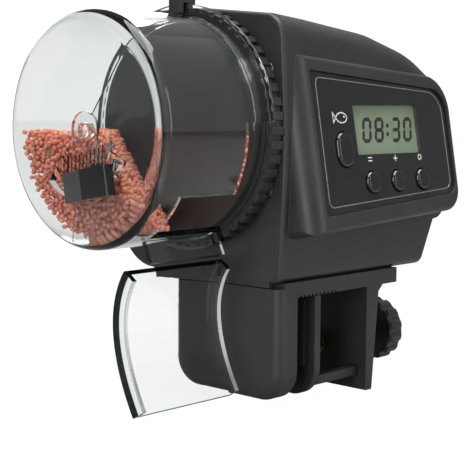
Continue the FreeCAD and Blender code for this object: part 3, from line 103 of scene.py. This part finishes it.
def makeSky(scene):
    # a bright backdrop for the camera and through clear pieces, and a dim room for everything else
    scene.world = bpy.data.worlds.new("studio")
    scene.world.use_nodes = True
    tree = Tree(scene.world.node_tree)
    seen = scene.world.node_tree.nodes["Background"]
    given = tree.add("ShaderNodeBackground", Color=(*studio["sky"], 1), Strength=studio["givenPower"])
    tree.feed(seen, "Color", (*studio["sky"], 1))
    tree.feed(seen, "Strength", studio["seenPower"])
    blend = tree.add("ShaderNodeMixShader")
    tree.feed(blend, 0, seenDirectly(tree))
    tree.feed(blend, 1, given.outputs[0])
    tree.feed(blend, 2, seen.outputs[0])
    tree.feed(scene.world.node_tree.nodes["World Output"], "Surface", blend.outputs[0])


def makeStudio():
    scene = bpy.context.scene
    scene.view_settings.view_transform = "Standard"
    makeSky(scene)
    low, high = cadBox
    middle = (low + high) / 2
    for name, offset, size, power in studio["lamps"]:
        lamp = bpy.data.lights.new(name, "AREA")
        lamp.shape = "RECTANGLE"
        lamp.size, lamp.size_y = size
        lamp.energy = power
        item = bpy.data.objects.new(name, lamp)
        item.location = middle + Vector(offset)
        item.rotation_euler = (-Vector(offset)).to_track_quat("-Z", "Y").to_euler()
        scene.collection.objects.link(item)
    rim, radius, level = studio["floorRim"], studio["floorRadius"], low.z - studio["floorDrop"]
    ring = [(radius * math.cos(2 * math.pi * i / rim), radius * math.sin(2 * math.pi * i / rim), level)
            for i in range(rim)]
    mesh = bpy.data.meshes.new("floor")
    mesh.from_pydata(ring, [], [tuple(range(rim))])
    floor = bpy.data.objects.new("floor", mesh)
    scene.collection.objects.link(floor)
    mesh.materials.append(floorPaint())


class Tree:

    def __init__(self, tree):
        self.tree = tree

    def add(self, kind, **inputs):
        item = self.tree.nodes.new(kind)
        for name, value in inputs.items():
            self.feed(item, name, value)
        return item

    def feed(self, item, name, value):
        socket = item.inputs[name.replace("_", " ")] if isinstance(name, str) else item.inputs[name]
        if isinstance(value, bpy.types.NodeSocket):
            self.tree.links.new(value, socket)
        else:
            socket.default_value = value

    def math(self, work, a, b=0.0, clamp=False):
        item = self.tree.nodes.new("ShaderNodeMath")
        item.operation = work
        item.use_clamp = clamp
        self.feed(item, 0, a)
        self.feed(item, 1, b)
        return item.outputs[0]

    def ramp(self, value, low, high, outLow=0.0, outHigh=1.0):
        item = self.tree.nodes.new("ShaderNodeMapRange")
        for name, number in (("Value", value), ("From Min", low), ("From Max", high),
                             ("To Min", outLow), ("To Max", outHigh)):
            self.feed(item, name, number)
        return item.outputs["Result"]

    def mix(self, amount, a, b):
        item = self.tree.nodes.new("ShaderNodeMix")
        item.data_type = "RGBA"
        self.tree.links.new(amount, item.inputs["Factor"])
        for index, colour in ((6, a), (7, b)):
            if isinstance(colour, bpy.types.NodeSocket):
                self.tree.links.new(colour, item.inputs[index])
            else:
                item.inputs[index].default_value = (*colour, 1)
        return item.outputs[2]

    def place(self):
        return self.tree.nodes.new("ShaderNodeTexCoord").outputs["Object"]


def makeGroup(name, inputs, outputs, build):
    group = bpy.data.node_groups.new(name, "ShaderNodeTree")
    for word, value in inputs.items():
        socket = group.interface.new_socket(word, in_out="INPUT", socket_type="NodeSocketFloat")
        socket.default_value = value
    for word, kind in outputs.items():
        group.interface.new_socket(word, in_out="OUTPUT", socket_type="NodeSocket" + kind)
    tree = Tree(group)
    given = group.nodes.new("NodeGroupInput").outputs
    result = group.nodes.new("NodeGroupOutput")
    for word, socket in build(tree, given).items():
        group.links.new(socket, result.inputs[word])
    return group


def buildGrain(tree, given):
    fine = tree.add("ShaderNodeTexNoise", Vector=tree.place(), Scale=given["Scale"], Detail=3.0,
                    Roughness=0.6)
    patchScale = tree.math("MULTIPLY", given["Scale"], 0.02)
    patch = tree.add("ShaderNodeTexNoise", Vector=tree.place(), Scale=patchScale, Detail=2.0)
    height = tree.math("MULTIPLY", fine.outputs[0], given["Depth"])
    return {"Height": height, "Grain": fine.outputs[0], "Patch": patch.outputs[0]}


def buildEdge(tree, given):
    bevel = tree.add("ShaderNodeBevel", Radius=given["Width"])
    bevel.samples = 4
    flat = tree.add("ShaderNodeNewGeometry")
    turn = tree.add("ShaderNodeVectorMath")
    turn.operation = "DOT_PRODUCT"
    tree.tree.links.new(bevel.outputs[0], turn.inputs[0])
    tree.tree.links.new(flat.outputs["Normal"], turn.inputs[1])
    sharp = tree.ramp(turn.outputs["Value"], 0.985, 0.80)
    noise = tree.add("ShaderNodeTexNoise", Vector=tree.place(), Scale=900.0, Detail=4.0)
    broken = tree.ramp(noise.outputs[0], 0.40, 0.62)
    worn = tree.math("MULTIPLY", tree.math("MULTIPLY", sharp, broken), given["Wear"], clamp=True)
    return {"Worn": worn, "Edge": sharp, "Normal": bevel.outputs[0]}


def buildHandling(tree, given):
    blotch = tree.add("ShaderNodeTexNoise", Vector=tree.place(), Scale=given["Scale"], Detail=5.0,
                      Distortion=1.2)
    marks = tree.ramp(blotch.outputs[0], 0.42, 0.68)
    stretch = tree.add("ShaderNodeMapping", Vector=tree.place(), Scale=(40.0, 900.0, 900.0))
    streak = tree.add("ShaderNodeTexNoise", Vector=stretch.outputs[0], Scale=1.0, Detail=3.0)
    lines = tree.ramp(streak.outputs[0], 0.60, 0.72)
    return {"Marks": tree.math("MULTIPLY", marks, given["Marks"]),
            "Lines": tree.math("MULTIPLY", lines, given["Lines"])}


def buildDust(tree, given):
    normal = tree.add("ShaderNodeNewGeometry").outputs["Normal"]
    up = tree.add("ShaderNodeSeparateXYZ", Vector=normal).outputs["Z"]
    specks = tree.add("ShaderNodeTexNoise", Vector=tree.place(), Scale=2600.0, Detail=2.0).outputs[0]
    drift = tree.add("ShaderNodeTexNoise", Vector=tree.place(), Scale=70.0, Detail=3.0).outputs[0]
    film = tree.math("MULTIPLY", tree.ramp(up, 0.3, 1.0), tree.ramp(drift, 0.35, 0.75))
    speckled = tree.math("MULTIPLY", film, tree.ramp(specks, 0.45, 0.65))
    return {"Dust": tree.math("MULTIPLY", speckled, given["Amount"])}


grain = makeGroup("mouldGrain", {"Scale": 5200.0, "Depth": 1.0},
                  {"Height": "Float", "Grain": "Float", "Patch": "Float"}, buildGrain)
edge = makeGroup("edgeWear", {"Width": 0.0005, "Wear": 0.5},
                 {"Worn": "Float", "Edge": "Float", "Normal": "Vector"}, buildEdge)
handling = makeGroup("handling", {"Scale": 60.0, "Marks": 0.5, "Lines": 0.3},
                     {"Marks": "Float", "Lines": "Float"}, buildHandling)
dust = makeGroup("dust", {"Amount": 0.3}, {"Dust": "Float"}, buildDust)


def newMaterial(name):
    material = bpy.data.materials.new(name)
    material.use_nodes = True
    material.node_tree.nodes.clear()
    tree = Tree(material.node_tree)
    shader = tree.add("ShaderNodeBsdfPrincipled")
    output = tree.add("ShaderNodeOutputMaterial")
    material.node_tree.links.new(shader.outputs[0], output.inputs["Surface"])
    return material, tree, shader, output


def useGroup(tree, group, **inputs):
    item = tree.tree.nodes.new("ShaderNodeGroup")
    item.node_tree = group
    for name, value in inputs.items():
        tree.feed(item, name, value)
    return item.outputs


def bump(tree, shader, height, strength, distance, normal=None):
    item = tree.add("ShaderNodeBump", Height=height, Strength=strength, Distance=distance)
    if normal is not None:
        tree.feed(item, "Normal", normal)
    tree.feed(shader, "Normal", item.outputs[0])


def mouldedPlastic(name, colour, lighter, rough, look):
    material, tree, shader, output = newMaterial(name)
    skin = useGroup(tree, grain, Scale=look.get("grain", 5200.0), Depth=1.0)
    corner = useGroup(tree, edge, Width=look.get("edge", 0.35 * mm), Wear=look.get("wear", 0.5))
    touch = useGroup(tree, handling, Scale=55.0, Marks=look.get("marks", 0.5), Lines=look.get("lines", 0.3))
    film = useGroup(tree, dust, Amount=look.get("dust", 0.25))
    patchy = tree.mix(tree.ramp(skin["Patch"], 0.3, 0.7), colour, lighter)
    worn = tree.mix(corner["Worn"], patchy, look.get("wornColour", tuple(4 * c for c in lighter)))
    tree.feed(shader, "Base Color", tree.mix(film["Dust"], worn, (0.42, 0.41, 0.39)))
    level = tree.math("ADD", tree.ramp(skin["Grain"], 0.3, 0.7, rough - 0.05, rough + 0.05),
                      tree.math("MULTIPLY", touch["Marks"], -0.14))
    dusty = tree.math("MULTIPLY", film["Dust"], 0.3)
    tree.feed(shader, "Roughness", tree.math("ADD", level, dusty, clamp=True))
    shader.inputs["IOR"].default_value = 1.50
    bump(tree, shader, skin["Height"], look.get("bump", 0.25), look.get("depth", 0.03 * mm), corner["Normal"])
    return material


def polishedPlastic(name, colour, lighter, rough, look):
    material, tree, shader, output = newMaterial(name)
    corner = useGroup(tree, edge, Width=look.get("edge", 0.25 * mm), Wear=look.get("wear", 0.25))
    touch = useGroup(tree, handling, Scale=90.0, Marks=0.6, Lines=0.5)
    ripple = tree.add("ShaderNodeTexNoise", Vector=tree.place(), Scale=look.get("ripple", 110.0),
                      Detail=1.0).outputs[0]
    base = tree.mix(tree.ramp(ripple, 0.3, 0.7), colour, lighter)
    worn = look.get("wornColour", (0.16, 0.16, 0.16))
    tree.feed(shader, "Base Color", tree.mix(corner["Worn"], base, worn))
    level = tree.math("ADD", tree.math("MULTIPLY", touch["Marks"], look.get("smear", 0.16)),
                      tree.math("MULTIPLY", touch["Lines"], 0.12))
    tree.feed(shader, "Roughness", tree.math("ADD", level, rough, clamp=True))
    shader.inputs["IOR"].default_value = 1.50
    shader.inputs["Coat Weight"].default_value = look.get("coat", 0.3)
    shader.inputs["Coat Roughness"].default_value = 0.04
    bump(tree, shader, ripple, 0.12, 0.05 * mm, corner["Normal"])
    return material


def clearPlastic(name, tint, shadow, look):
    material, tree, shader, output = newMaterial(name)
    touch = useGroup(tree, handling, Scale=80.0, Marks=0.5, Lines=0.6)
    flow = tree.add("ShaderNodeTexNoise", Vector=tree.place(), Scale=45.0, Detail=2.0, Distortion=0.6)
    shader.inputs["Base Color"].default_value = (*tint, 1)
    shader.inputs["Transmission Weight"].default_value = 1.0
    shader.inputs["IOR"].default_value = look.get("ior", 1.38)
    level = tree.math("ADD", tree.math("MULTIPLY", touch["Marks"], 0.05),
                      tree.math("MULTIPLY", touch["Lines"], 0.05))
    tree.feed(shader, "Roughness", tree.math("ADD", level, 0.01, clamp=True))
    bump(tree, shader, flow.outputs[0], look.get("bump", 0.25), 0.25 * mm)
    path = tree.add("ShaderNodeLightPath")
    through = tree.add("ShaderNodeBsdfTransparent", Color=(*shadow, 1))
    blend = tree.add("ShaderNodeMixShader")
    tree.feed(blend, 0, tree.math("MAXIMUM", path.outputs["Is Shadow Ray"], path.outputs["Is Diffuse Ray"]))
    tree.feed(blend, 1, shader.outputs[0])
    tree.feed(blend, 2, through.outputs[0])
    tree.feed(output, "Surface", blend.outputs[0])
    return material


def platedMetal(name, colour, darker, rough):
    material, tree, shader, output = newMaterial(name)
    corner = useGroup(tree, edge, Width=0.15 * mm, Wear=0.4)
    touch = useGroup(tree, handling, Scale=140.0, Marks=0.6, Lines=1.0)
    spots = tree.add("ShaderNodeTexNoise", Vector=tree.place(), Scale=700.0, Detail=4.0).outputs[0]
    base = tree.mix(tree.ramp(spots, 0.35, 0.7), colour, darker)
    tree.feed(shader, "Base Color", tree.mix(corner["Worn"], base, tuple(min(1, 1.3 * c) for c in colour)))
    shader.inputs["Metallic"].default_value = 1.0
    level = tree.math("ADD", tree.ramp(spots, 0.3, 0.7, rough, rough + 0.12),
                      tree.math("MULTIPLY", touch["Lines"], 0.15))
    tree.feed(shader, "Roughness", level)
    bump(tree, shader, touch["Lines"], 0.15, 0.02 * mm, corner["Normal"])
    return material


def floorPaint():
    material, tree, shader, output = newMaterial("paleFloor")
    cloud = tree.add("ShaderNodeTexNoise", Vector=tree.place(), Scale=3.0, Detail=2.0).outputs[0]
    tree.feed(shader, "Base Color", tree.mix(cloud, (0.33, 0.335, 0.34), (0.38, 0.385, 0.39)))
    tree.feed(shader, "Roughness", tree.ramp(cloud, 0.3, 0.7, 0.55, 0.65))
    glow = tree.add("ShaderNodeEmission", Color=(*studio["sky"], 1), Strength=studio["seenPower"])
    blend = tree.add("ShaderNodeMixShader")
    tree.feed(blend, 0, tree.math("MULTIPLY", seenDirectly(tree), studio["floorGlow"]))
    tree.feed(blend, 1, shader.outputs[0])
    tree.feed(blend, 2, glow.outputs[0])
    tree.feed(output, "Surface", blend.outputs[0])
    return material


def paintNodes():
    finishes = {
        "black_abs": mouldedPlastic("satinBlack", (0.017, 0.018, 0.0185), (0.024, 0.025, 0.025), 0.46, {}),
        "gloss_black": polishedPlastic("glossBlack",
                                       (0.007, 0.0075, 0.0075), (0.011, 0.0115, 0.012), 0.10, {}),
        "key_black": polishedPlastic("keyBlack",
                                     (0.004, 0.004, 0.004), (0.008, 0.008, 0.008), 0.08, {"coat": 0.5}),
        "clear_ps": clearPlastic("clearStyrene", (0.90, 0.92, 0.91), (0.88, 0.91, 0.90), {}),
        "lcd_pane": clearPlastic("displayWindow", (0.95, 0.97, 0.95), (0.92, 0.94, 0.92),
                                 {"bump": 0.05, "ior": 1.22}),
        "lcd_grey": polishedPlastic("displayGrey", (0.20, 0.24, 0.165), (0.225, 0.265, 0.19), 0.35,
                                    {"coat": 0.0, "wear": 0.0}),
        "white_plastic": mouldedPlastic("milkWhite", (0.62, 0.62, 0.57), (0.68, 0.68, 0.63), 0.45,
                                        {"wornColour": (0.8, 0.8, 0.76)}),
        "board_green": polishedPlastic("solderMask", (0.015, 0.10, 0.035), (0.03, 0.16, 0.06), 0.30,
                                       {"ripple": 900.0, "wornColour": (0.5, 0.46, 0.3)}),
        "chip_black": mouldedPlastic("chipBlack", (0.018, 0.018, 0.018), (0.03, 0.03, 0.03), 0.6, {}),
        "nylon": mouldedPlastic("naturalNylon", (0.62, 0.60, 0.52), (0.70, 0.68, 0.60), 0.38,
                                {"wornColour": (0.8, 0.78, 0.7)}),
        "steel": platedMetal("zincSteel", (0.60, 0.61, 0.62), (0.40, 0.41, 0.42), 0.25),
        "brass": platedMetal("turnedBrass", (0.72, 0.52, 0.22), (0.52, 0.36, 0.14), 0.22),
        "rubber": mouldedPlastic("softRubber", (0.016, 0.016, 0.016), (0.024, 0.024, 0.024), 0.75,
                                 {"bump": 0.5, "grain": 3000.0, "wear": 0.2}),
        "cell_skin": polishedPlastic("cellSleeve", (0.02, 0.045, 0.14), (0.03, 0.06, 0.18), 0.25,
                                     {"coat": 0.4}),
    }
    for part in frame["record"]["subparts"]:
        mesh = nodes[part["node"]].data
        for index in range(len(mesh.materials)):
            mesh.materials[index] = finishes[part["material_slot"]]
    return finishes


def addPiece(name, points, faces, material, body, smooth=True):
    mesh = bpy.data.meshes.new(name)
    mesh.from_pydata([tuple(p) for p in points], [], faces)
    mesh.validate()
    mesh.shade_smooth() if smooth else mesh.shade_flat()
    mesh.materials.append(material)
    piece = bpy.data.objects.new(name, mesh)
    bpy.context.scene.collection.objects.link(piece)
    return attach(piece, body)


def reach(node, direction):
    return max(v.co.dot(direction) for v in nodes[node].data.vertices)


class Face:
    # a flat face to draw on: its zero, and its right, up and outward directions

    def __init__(self, zero, right, up, out):
        self.zero, self.right, self.up, self.out = zero, right, up, out
        self.points, self.faces = [], []

    def at(self, x, y, out):
        return self.zero + self.right * x + self.up * y + self.out * out

    def plate(self, outline, low, high):
        start, count = len(self.points), len(outline)
        for out in (low, high):
            self.points += [self.at(x, y, out) for x, y in outline]
        self.faces.append(tuple(start + count + i for i in range(count)))
        self.faces.append(tuple(start + i for i in reversed(range(count))))
        for i in range(count):
            after = (i + 1) % count
            self.faces.append((start + i, start + after, start + count + after, start + count + i))

    def ribbon(self, path, width, low, high, closed=False):
        # a flat strip of even width along a path, with mitred corners
        start, count = len(self.points), len(path)
        for i, here in enumerate(path):
            before = path[i - 1] if closed or i else here
            after = path[(i + 1) % count] if closed or i < count - 1 else here
            near = (Vector(here) - Vector(before)).normalized()
            far = (Vector(after) - Vector(here)).normalized()
            way = (near + far).normalized()
            side = Vector((-way.y, way.x)) * width / 2 / max(0.4, way.dot(far if far.length else near))
            for offset, out in ((side, low), (side, high), (-side, high), (-side, low)):
                self.points.append(self.at(here[0] + offset.x, here[1] + offset.y, out))
        for i in range(count if closed else count - 1):
            a, b = start + 4 * i, start + 4 * ((i + 1) % count)
            self.faces += [(a + j, b + j, b + (j + 1) % 4, a + (j + 1) % 4) for j in range(4)]
        if not closed:
            self.faces += [(start, start + 1, start + 2, start + 3),
                           tuple(start + 4 * count - 1 - j for j in range(4))]

    def piece(self, name, material, body, slot):
        return addPiece(name, self.points, self.faces, material, body, smooth=False)


def rounded(corners, radii, steps=7):
    # a closed path round four or more corners, each turned with its own radius
    path = []
    count = len(corners)
    for i, corner in enumerate(corners):
        here = Vector(corner)
        before = (Vector(corners[i - 1]) - here).normalized()
        after = (Vector(corners[(i + 1) % count]) - here).normalized()
        half = before.angle(after) / 2
        middle = here + (before + after).normalized() * radii[i] / math.sin(half)
        first = here + before * radii[i] / math.tan(half) - middle
        last = here + after * radii[i] / math.tan(half) - middle
        for step in range(steps + 1):
            spoke = first.lerp(last, step / steps).normalized() * radii[i]
            path.append(tuple(middle + spoke))
    return path


def arc(x, y, radiusX, radiusY, start, end, steps):
    turns = [math.radians(start + (end - start) * i / steps) for i in range(steps + 1)]
    return [(x + radiusX * math.cos(turn), y + radiusY * math.sin(turn)) for turn in turns]


def podPoint(across, up, out):
    return acrossPod * across + upPod * up + outOfPod * out


def podFace(out):
    return Face(outOfPod * out, acrossPod, upPod, outOfPod)


def podMiddle(node):
    across = [v.co.dot(acrossPod) for v in nodes[node].data.vertices]
    up = [v.co.dot(upPod) for v in nodes[node].data.vertices]
    return (min(across) + max(across)) / 2, (min(up) + max(up)) / 2


foodBed = {"pellet": 1.45 * mm, "wallRoom": 0.08 * mm, "level": -1.0 * mm, "slope": 0.16, "layers": 2.2,
           "closeness": 0.80, "tries": 160000, "seed": 11, "gateWall": 0.8 * mm, "plate": 1.0 * mm,
           "hub": 1.9 * mm, "hubRadius": 6 * mm, "bankX": -27.0 * mm, "bankSlope": 1.3,
           "swell": 0.4 * mm, "swellAlong": 310, "swellAcross": 270, "squash": (0.84, 1.04)}


def pelletBall():
    # a small round lump: an icosahedron divided once
    golden = (1 + math.sqrt(5)) / 2
    points = [Vector(p).normalized() for p in (
        (-1, golden, 0), (1, golden, 0), (-1, -golden, 0), (1, -golden, 0), (0, -1, golden), (0, 1, golden),
        (0, -1, -golden), (0, 1, -golden), (golden, 0, -1), (golden, 0, 1), (-golden, 0, -1),
        (-golden, 0, 1))]
    count = len(points)
    faces = [(a, b, c) for a in range(count) for b in range(a + 1, count) for c in range(b + 1, count)
             if max((points[a] - points[b]).length, (points[b] - points[c]).length,
                    (points[a] - points[c]).length) < 1.1]
    faces = [f if (points[f[1]] - points[f[0]]).cross(points[f[2]] - points[f[0]]).dot(points[f[0]]) > 0
             else (f[0], f[2], f[1]) for f in faces]
    middles = {}
    finer = []
    for a, b, c in faces:
        mids = []
        for pair in ((a, b), (b, c), (c, a)):
            key = tuple(sorted(pair))
            if key not in middles:
                middles[key] = len(points)
                points.append(((points[pair[0]] + points[pair[1]]) / 2).normalized())
            mids.append(middles[key])
        finer += [(a, mids[0], mids[2]), (b, mids[1], mids[0]), (c, mids[2], mids[1]), tuple(mids)]
    return points, finer


def makeFood(material):
    size = foodBed["pellet"]
    gateLow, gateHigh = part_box("portion_gate")
    # the gate's wall turns inside the drum's, so the bed keeps inside the gate all round
    reachOut = drumAxis.z - gateLow.z - foodBed["gateWall"] - foodBed["wallRoom"] - size / 2
    low = gateLow.x + foodBed["plate"] + size / 2
    high = gateHigh.x - size / 2
    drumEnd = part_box("food_drum")[1].x

    def surface(x, y):
        # level at the back, dipping gently to the front and then steeply towards the outlet
        forward = drumAxis.y - y
        swell = (foodBed["swell"] * math.sin(x * foodBed["swellAlong"])
                 * math.cos(y * foodBed["swellAcross"]))
        bank = (x - drumEnd) + forward - foodBed["bankX"]
        dip = foodBed["slope"] * max(0.0, forward)
        return foodBed["level"] + swell - dip - foodBed["bankSlope"] * max(0.0, bank)

    def depth(x, y, z):
        # how far a point lies inside the bed, from the nearest of its sides
        out = math.hypot(y - drumAxis.y, z)
        nearest = gateLow.x + foodBed["hub"] + size / 2 if out < foodBed["hubRadius"] else low
        return min(reachOut - out, surface(x, y) - z, x - nearest, high - x)

    picker = random.Random(foodBed["seed"])
    near = size * foodBed["closeness"]
    grid, spots = {}, []
    for number in range(foodBed["tries"]):
        x = picker.uniform(low, high)
        angle, out = picker.uniform(0, 2 * math.pi), reachOut * math.sqrt(picker.random())
        y, z = drumAxis.y + out * math.cos(angle), out * math.sin(angle)
        inside = depth(x, y, z)
        if not 0 <= inside <= foodBed["layers"] * size:
            continue
        home = (int(x // near), int(y // near), int(z // near))
        crowd = [s for i in (-1, 0, 1) for j in (-1, 0, 1) for k in (-1, 0, 1)
                 for s in grid.get((home[0] + i, home[1] + j, home[2] + k), ())]
        if all((s[0] - x) ** 2 + (s[1] - y) ** 2 + (s[2] - z) ** 2 >= near * near for s in crowd):
            grid.setdefault(home, []).append((x, y, z))
            spots.append((x, y, z))
    ball, sides = pelletBall()
    points, faces, tones = [], [], []
    for x, y, z in spots:
        squash = Vector([size / 2 * picker.uniform(*foodBed["squash"]) for i in range(3)])
        tone = picker.random()
        start = len(points)
        points += [(x + p.x * squash.x, y + p.y * squash.y, drumAxis.z + z + p.z * squash.z) for p in ball]
        faces += [(a + start, b + start, c + start) for a, b, c in sides]
        tones += [tone] * len(ball)
    piece = addPiece("food_pellets", points, faces, material, "housing")
    piece.data.attributes.new("tone", "FLOAT", "POINT").data.foreach_set("value", tones)
    print("food:", len(spots), "pellets")


def pelletMaterial():
    material, tree, shader, output = newMaterial("driedPellet")
    tone = tree.add("ShaderNodeAttribute")
    tone.attribute_name = "tone"
    crumb = tree.add("ShaderNodeTexNoise", Vector=tree.place(), Scale=1900.0, Detail=4.0).outputs[0]
    base = tree.mix(tone.outputs["Fac"], (0.64, 0.14, 0.085), (0.92, 0.40, 0.28))
    tree.feed(shader, "Base Color", tree.mix(tree.ramp(crumb, 0.35, 0.7), base, (0.78, 0.24, 0.16)))
    tree.feed(shader, "Roughness", tree.ramp(crumb, 0.3, 0.7, 0.5, 0.75))
    bump(tree, shader, crumb, 0.6, 0.12 * mm)
    return material


clock = {"reading": "08:30", "tall": 7.4 * mm, "wide": 4.3 * mm, "stroke": 1.15 * mm, "pitch": 5.75 * mm,
         "colon": 2.3 * mm, "lift": 0.06 * mm, "shiftAcross": 1.1 * mm, "shiftUp": 0.0, "gap": 0.12 * mm,
         "lean": 0.165, "dot": 0.6}
segments = {"0": "abcdef", "3": "abgcd", "8": "abcdefg"}


def bar(across, up, length, stroke, tall):
    # a display segment: a bar with pointed ends, lying or standing, round its middle
    half, thin = length / 2, stroke / 2
    shape = [(-half, 0), (-half + thin, -thin), (half - thin, -thin), (half, 0), (half - thin, thin),
             (-half + thin, thin)]
    if tall:
        shape = [(-y, x) for x, y in shape]
    return [(across + x, up + y) for x, y in shape]


def makeDigits(material, ghost):
    across, up = podMiddle("lcd_window")
    across += clock["shiftAcross"]
    up += clock["shiftUp"]
    level = reach("lcd_glass", outOfPod)
    wide, tall, stroke = clock["wide"] - clock["stroke"], clock["tall"] - clock["stroke"], clock["stroke"]
    x = across - (4 * clock["pitch"] + clock["colon"]) / 2 + clock["pitch"] / 2
    spots = {"a": (0, tall / 2, 0), "g": (0, 0, 0), "d": (0, -tall / 2, 0), "f": (-wide / 2, tall / 4, 1),
             "b": (wide / 2, tall / 4, 1), "e": (-wide / 2, -tall / 4, 1), "c": (wide / 2, -tall / 4, 1)}
    lit, unlit = podFace(level), podFace(level)

    def leaned(shape, at):
        return [(at + px + clock["lean"] * py, up + py) for px, py in shape]

    for sign in clock["reading"]:
        if sign == ":":
            middle = x - clock["pitch"] / 2 + clock["colon"] / 2
            for y in (-tall / 5, tall / 5):
                dot = stroke * clock["dot"]
                lit.plate(leaned(arc(0, y, dot, dot, 0, 315, 7), middle), 0, clock["lift"])
            x += clock["colon"]
            continue
        for letter, (cx, cy, stands) in spots.items():
            length = (tall / 2 if stands else wide) - clock["gap"]
            goal = lit if letter in segments[sign] else unlit
            high = clock["lift"] / (1 if goal is lit else 2)
            goal.plate(leaned(bar(cx, cy, length, stroke, stands), x), 0, high)
        x += clock["pitch"]
    lit.piece("display_digits", material, "housing", "chip_black")
    unlit.piece("display_unlit_digits", ghost, "housing", "lcd_grey")


trim = {"corners": ((3.0, 38.6), (61.4, 34.5), (61.3, 5.4), (2.4, 2.2)), "radii": (1.8, 7.0, 3.0, 1.8),
        "width": 0.30 * mm, "high": 0.05 * mm}
marks = {"width": 0.34 * mm, "high": 0.04 * mm, "above": 6.6 * mm, "size": 0.9 * mm, "fishUp": 9.0 * mm,
         "fish": 2.3 * mm, "ring": 0.8, "fishShift": 0.2, "fishFlat": 0.62, "mouthTurn": 150,
         "tailTurn": 30, "tailLong": 0.75, "tailHalf": 0.6, "eyeAlong": 0.7, "eyeUp": 0.12,
         "eyeRadius": 0.5, "eyeWidth": 0.8}


def panelFace():
    across = min(v.co.dot(acrossPod) for v in nodes["control_panel"].data.vertices)
    up = min(v.co.dot(upPod) for v in nodes["control_panel"].data.vertices)
    out = reach("control_panel", outOfPod)
    return Face(podPoint(across, up, out), acrossPod, upPod, outOfPod), across, up


def makePanelTrim(silver, white):
    face, left, foot = panelFace()
    corners = [(x * mm, y * mm) for x, y in trim["corners"]]
    face.ribbon(rounded(corners, [r * mm for r in trim["radii"]]), trim["width"], 0, trim["high"], True)
    face.piece("panel_trim_line", silver, "housing", "steel")
    face = panelFace()[0]
    size, high, width = marks["size"], marks["high"], marks["width"]
    for node, kind in (("mode_button", "bars"), ("adjust_button", "plus"), ("set_button", "dot")):
        x, y = podMiddle(node)
        x, y = x - left, y - foot + marks["above"]
        if kind == "bars":
            for lift in (-size / 2, size / 2):
                face.ribbon([(x - size, y + lift), (x + size, y + lift)], width, 0, high)
        elif kind == "plus":
            face.ribbon([(x - size, y), (x + size, y)], width, 0, high)
            face.ribbon([(x, y + width / 2), (x, y + size)], width, 0, high)
            face.ribbon([(x, y - size), (x, y - width / 2)], width, 0, high)
        else:
            ring = size * marks["ring"]
            face.ribbon(arc(x, y, ring, ring, 0, 345, 23), width, 0, high, True)
    x, y = podMiddle("feed_button")
    x, y, fish = x - left, y - foot + marks["fishUp"], marks["fish"]
    # the fish: an open oval, the two ends of which run on into a crossed tail, and an eye
    flat, shift, mouth = fish * marks["fishFlat"], marks["fishShift"], marks["mouthTurn"]
    face.ribbon(arc(x + fish * shift, y, fish, flat, -mouth, mouth, 24), width, 0, high)
    turn = math.radians(marks["tailTurn"])
    tail, half = x + fish * (shift - math.cos(turn)), flat * math.sin(turn)
    tip, spread = tail - fish * marks["tailLong"], fish * marks["tailHalf"]
    face.ribbon([(tail, y + half), (tip, y - spread), (tip, y + spread), (tail, y - half)], width, 0, high)
    eye = width * marks["eyeRadius"]
    face.ribbon(arc(x + fish * marks["eyeAlong"], y + fish * marks["eyeUp"], eye, eye, 0, 315, 7),
                width * marks["eyeWidth"], 0, high, True)
    face.piece("panel_marks", white, "housing", "white_plastic")


dial = {"combHeight": 0.8 * mm,
        "less": (13.4, -6.0), "more": (-12.6, -3.9), "size": 1.5 * mm, "width": 0.7 * mm, "high": 0.35 * mm}


def makeDrumMarks(material):
    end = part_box("food_drum")[0].x + dial["combHeight"]          # the comb stands off the drum's end
    face = Face(Vector((end, drumAxis.y, drumAxis.z)), Vector((0, -1, 0)), Vector((0, 0, 1)),
                Vector((-1, 0, 0)))
    size, width, high = dial["size"], dial["width"], dial["high"]
    x, y = (-dial["less"][0] * mm, dial["less"][1] * mm)
    face.ribbon([(x - size, y), (x + size, y)], width, 0, high)
    x, y = (-dial["more"][0] * mm, dial["more"][1] * mm)
    face.ribbon([(x - size, y), (x + size, y)], width, 0, high)
    face.ribbon([(x, y + width / 2), (x, y + size)], width, 0, high)
    face.ribbon([(x, y - size), (x, y - width / 2)], width, 0, high)
    face.piece("drum_portion_marks", material, "drum", "clear_ps")


coverArrow = {"gripHeight": 0.5 * mm,
              "tail": 0.6, "size": 3.2 * mm, "high": 0.45 * mm, "fromEnd": 0.36}


def makeCoverArrow(material):
    low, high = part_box("battery_cover")
    # the cover's own face lies below its grips
    slab = max(v.co.y for v in nodes["battery_cover"].data.vertices) - coverArrow["gripHeight"]
    face = Face(Vector((low.x + (high.x - low.x) * coverArrow["fromEnd"], slab, (low.z + high.z) / 2)),
                Vector((1, 0, 0)), Vector((0, 0, 1)), Vector((0, 1, 0)))
    size = coverArrow["size"]
    tail = size * coverArrow["tail"]
    face.plate([(size, 0), (-tail, -size), (-tail, size)], 0, coverArrow["high"])
    face.piece("cover_arrow", material, "battery_door", "black_abs")


print("materials")
makeCamera()
makeStudio()
finishes = paintNodes()
print("food bed")
makeFood(pelletMaterial())
print("display")
printed = {"coat": 0.0, "wear": 0.0}
ink = polishedPlastic("displayInk", (0.003, 0.004, 0.003), (0.005, 0.006, 0.005), 0.4, printed)
faint = polishedPlastic("faintSegment", (0.17, 0.205, 0.14), (0.185, 0.22, 0.155), 0.4, printed)
makeDigits(ink, faint)
print("panel graphics")
silver = platedMetal("trimSilver", (0.52, 0.53, 0.54), (0.40, 0.41, 0.42), 0.3)
white = polishedPlastic("markWhite", (0.70, 0.70, 0.69), (0.78, 0.78, 0.77), 0.4, printed)
makePanelTrim(silver, white)
makeDrumMarks(finishes["clear_ps"])
makeCoverArrow(finishes["black_abs"])
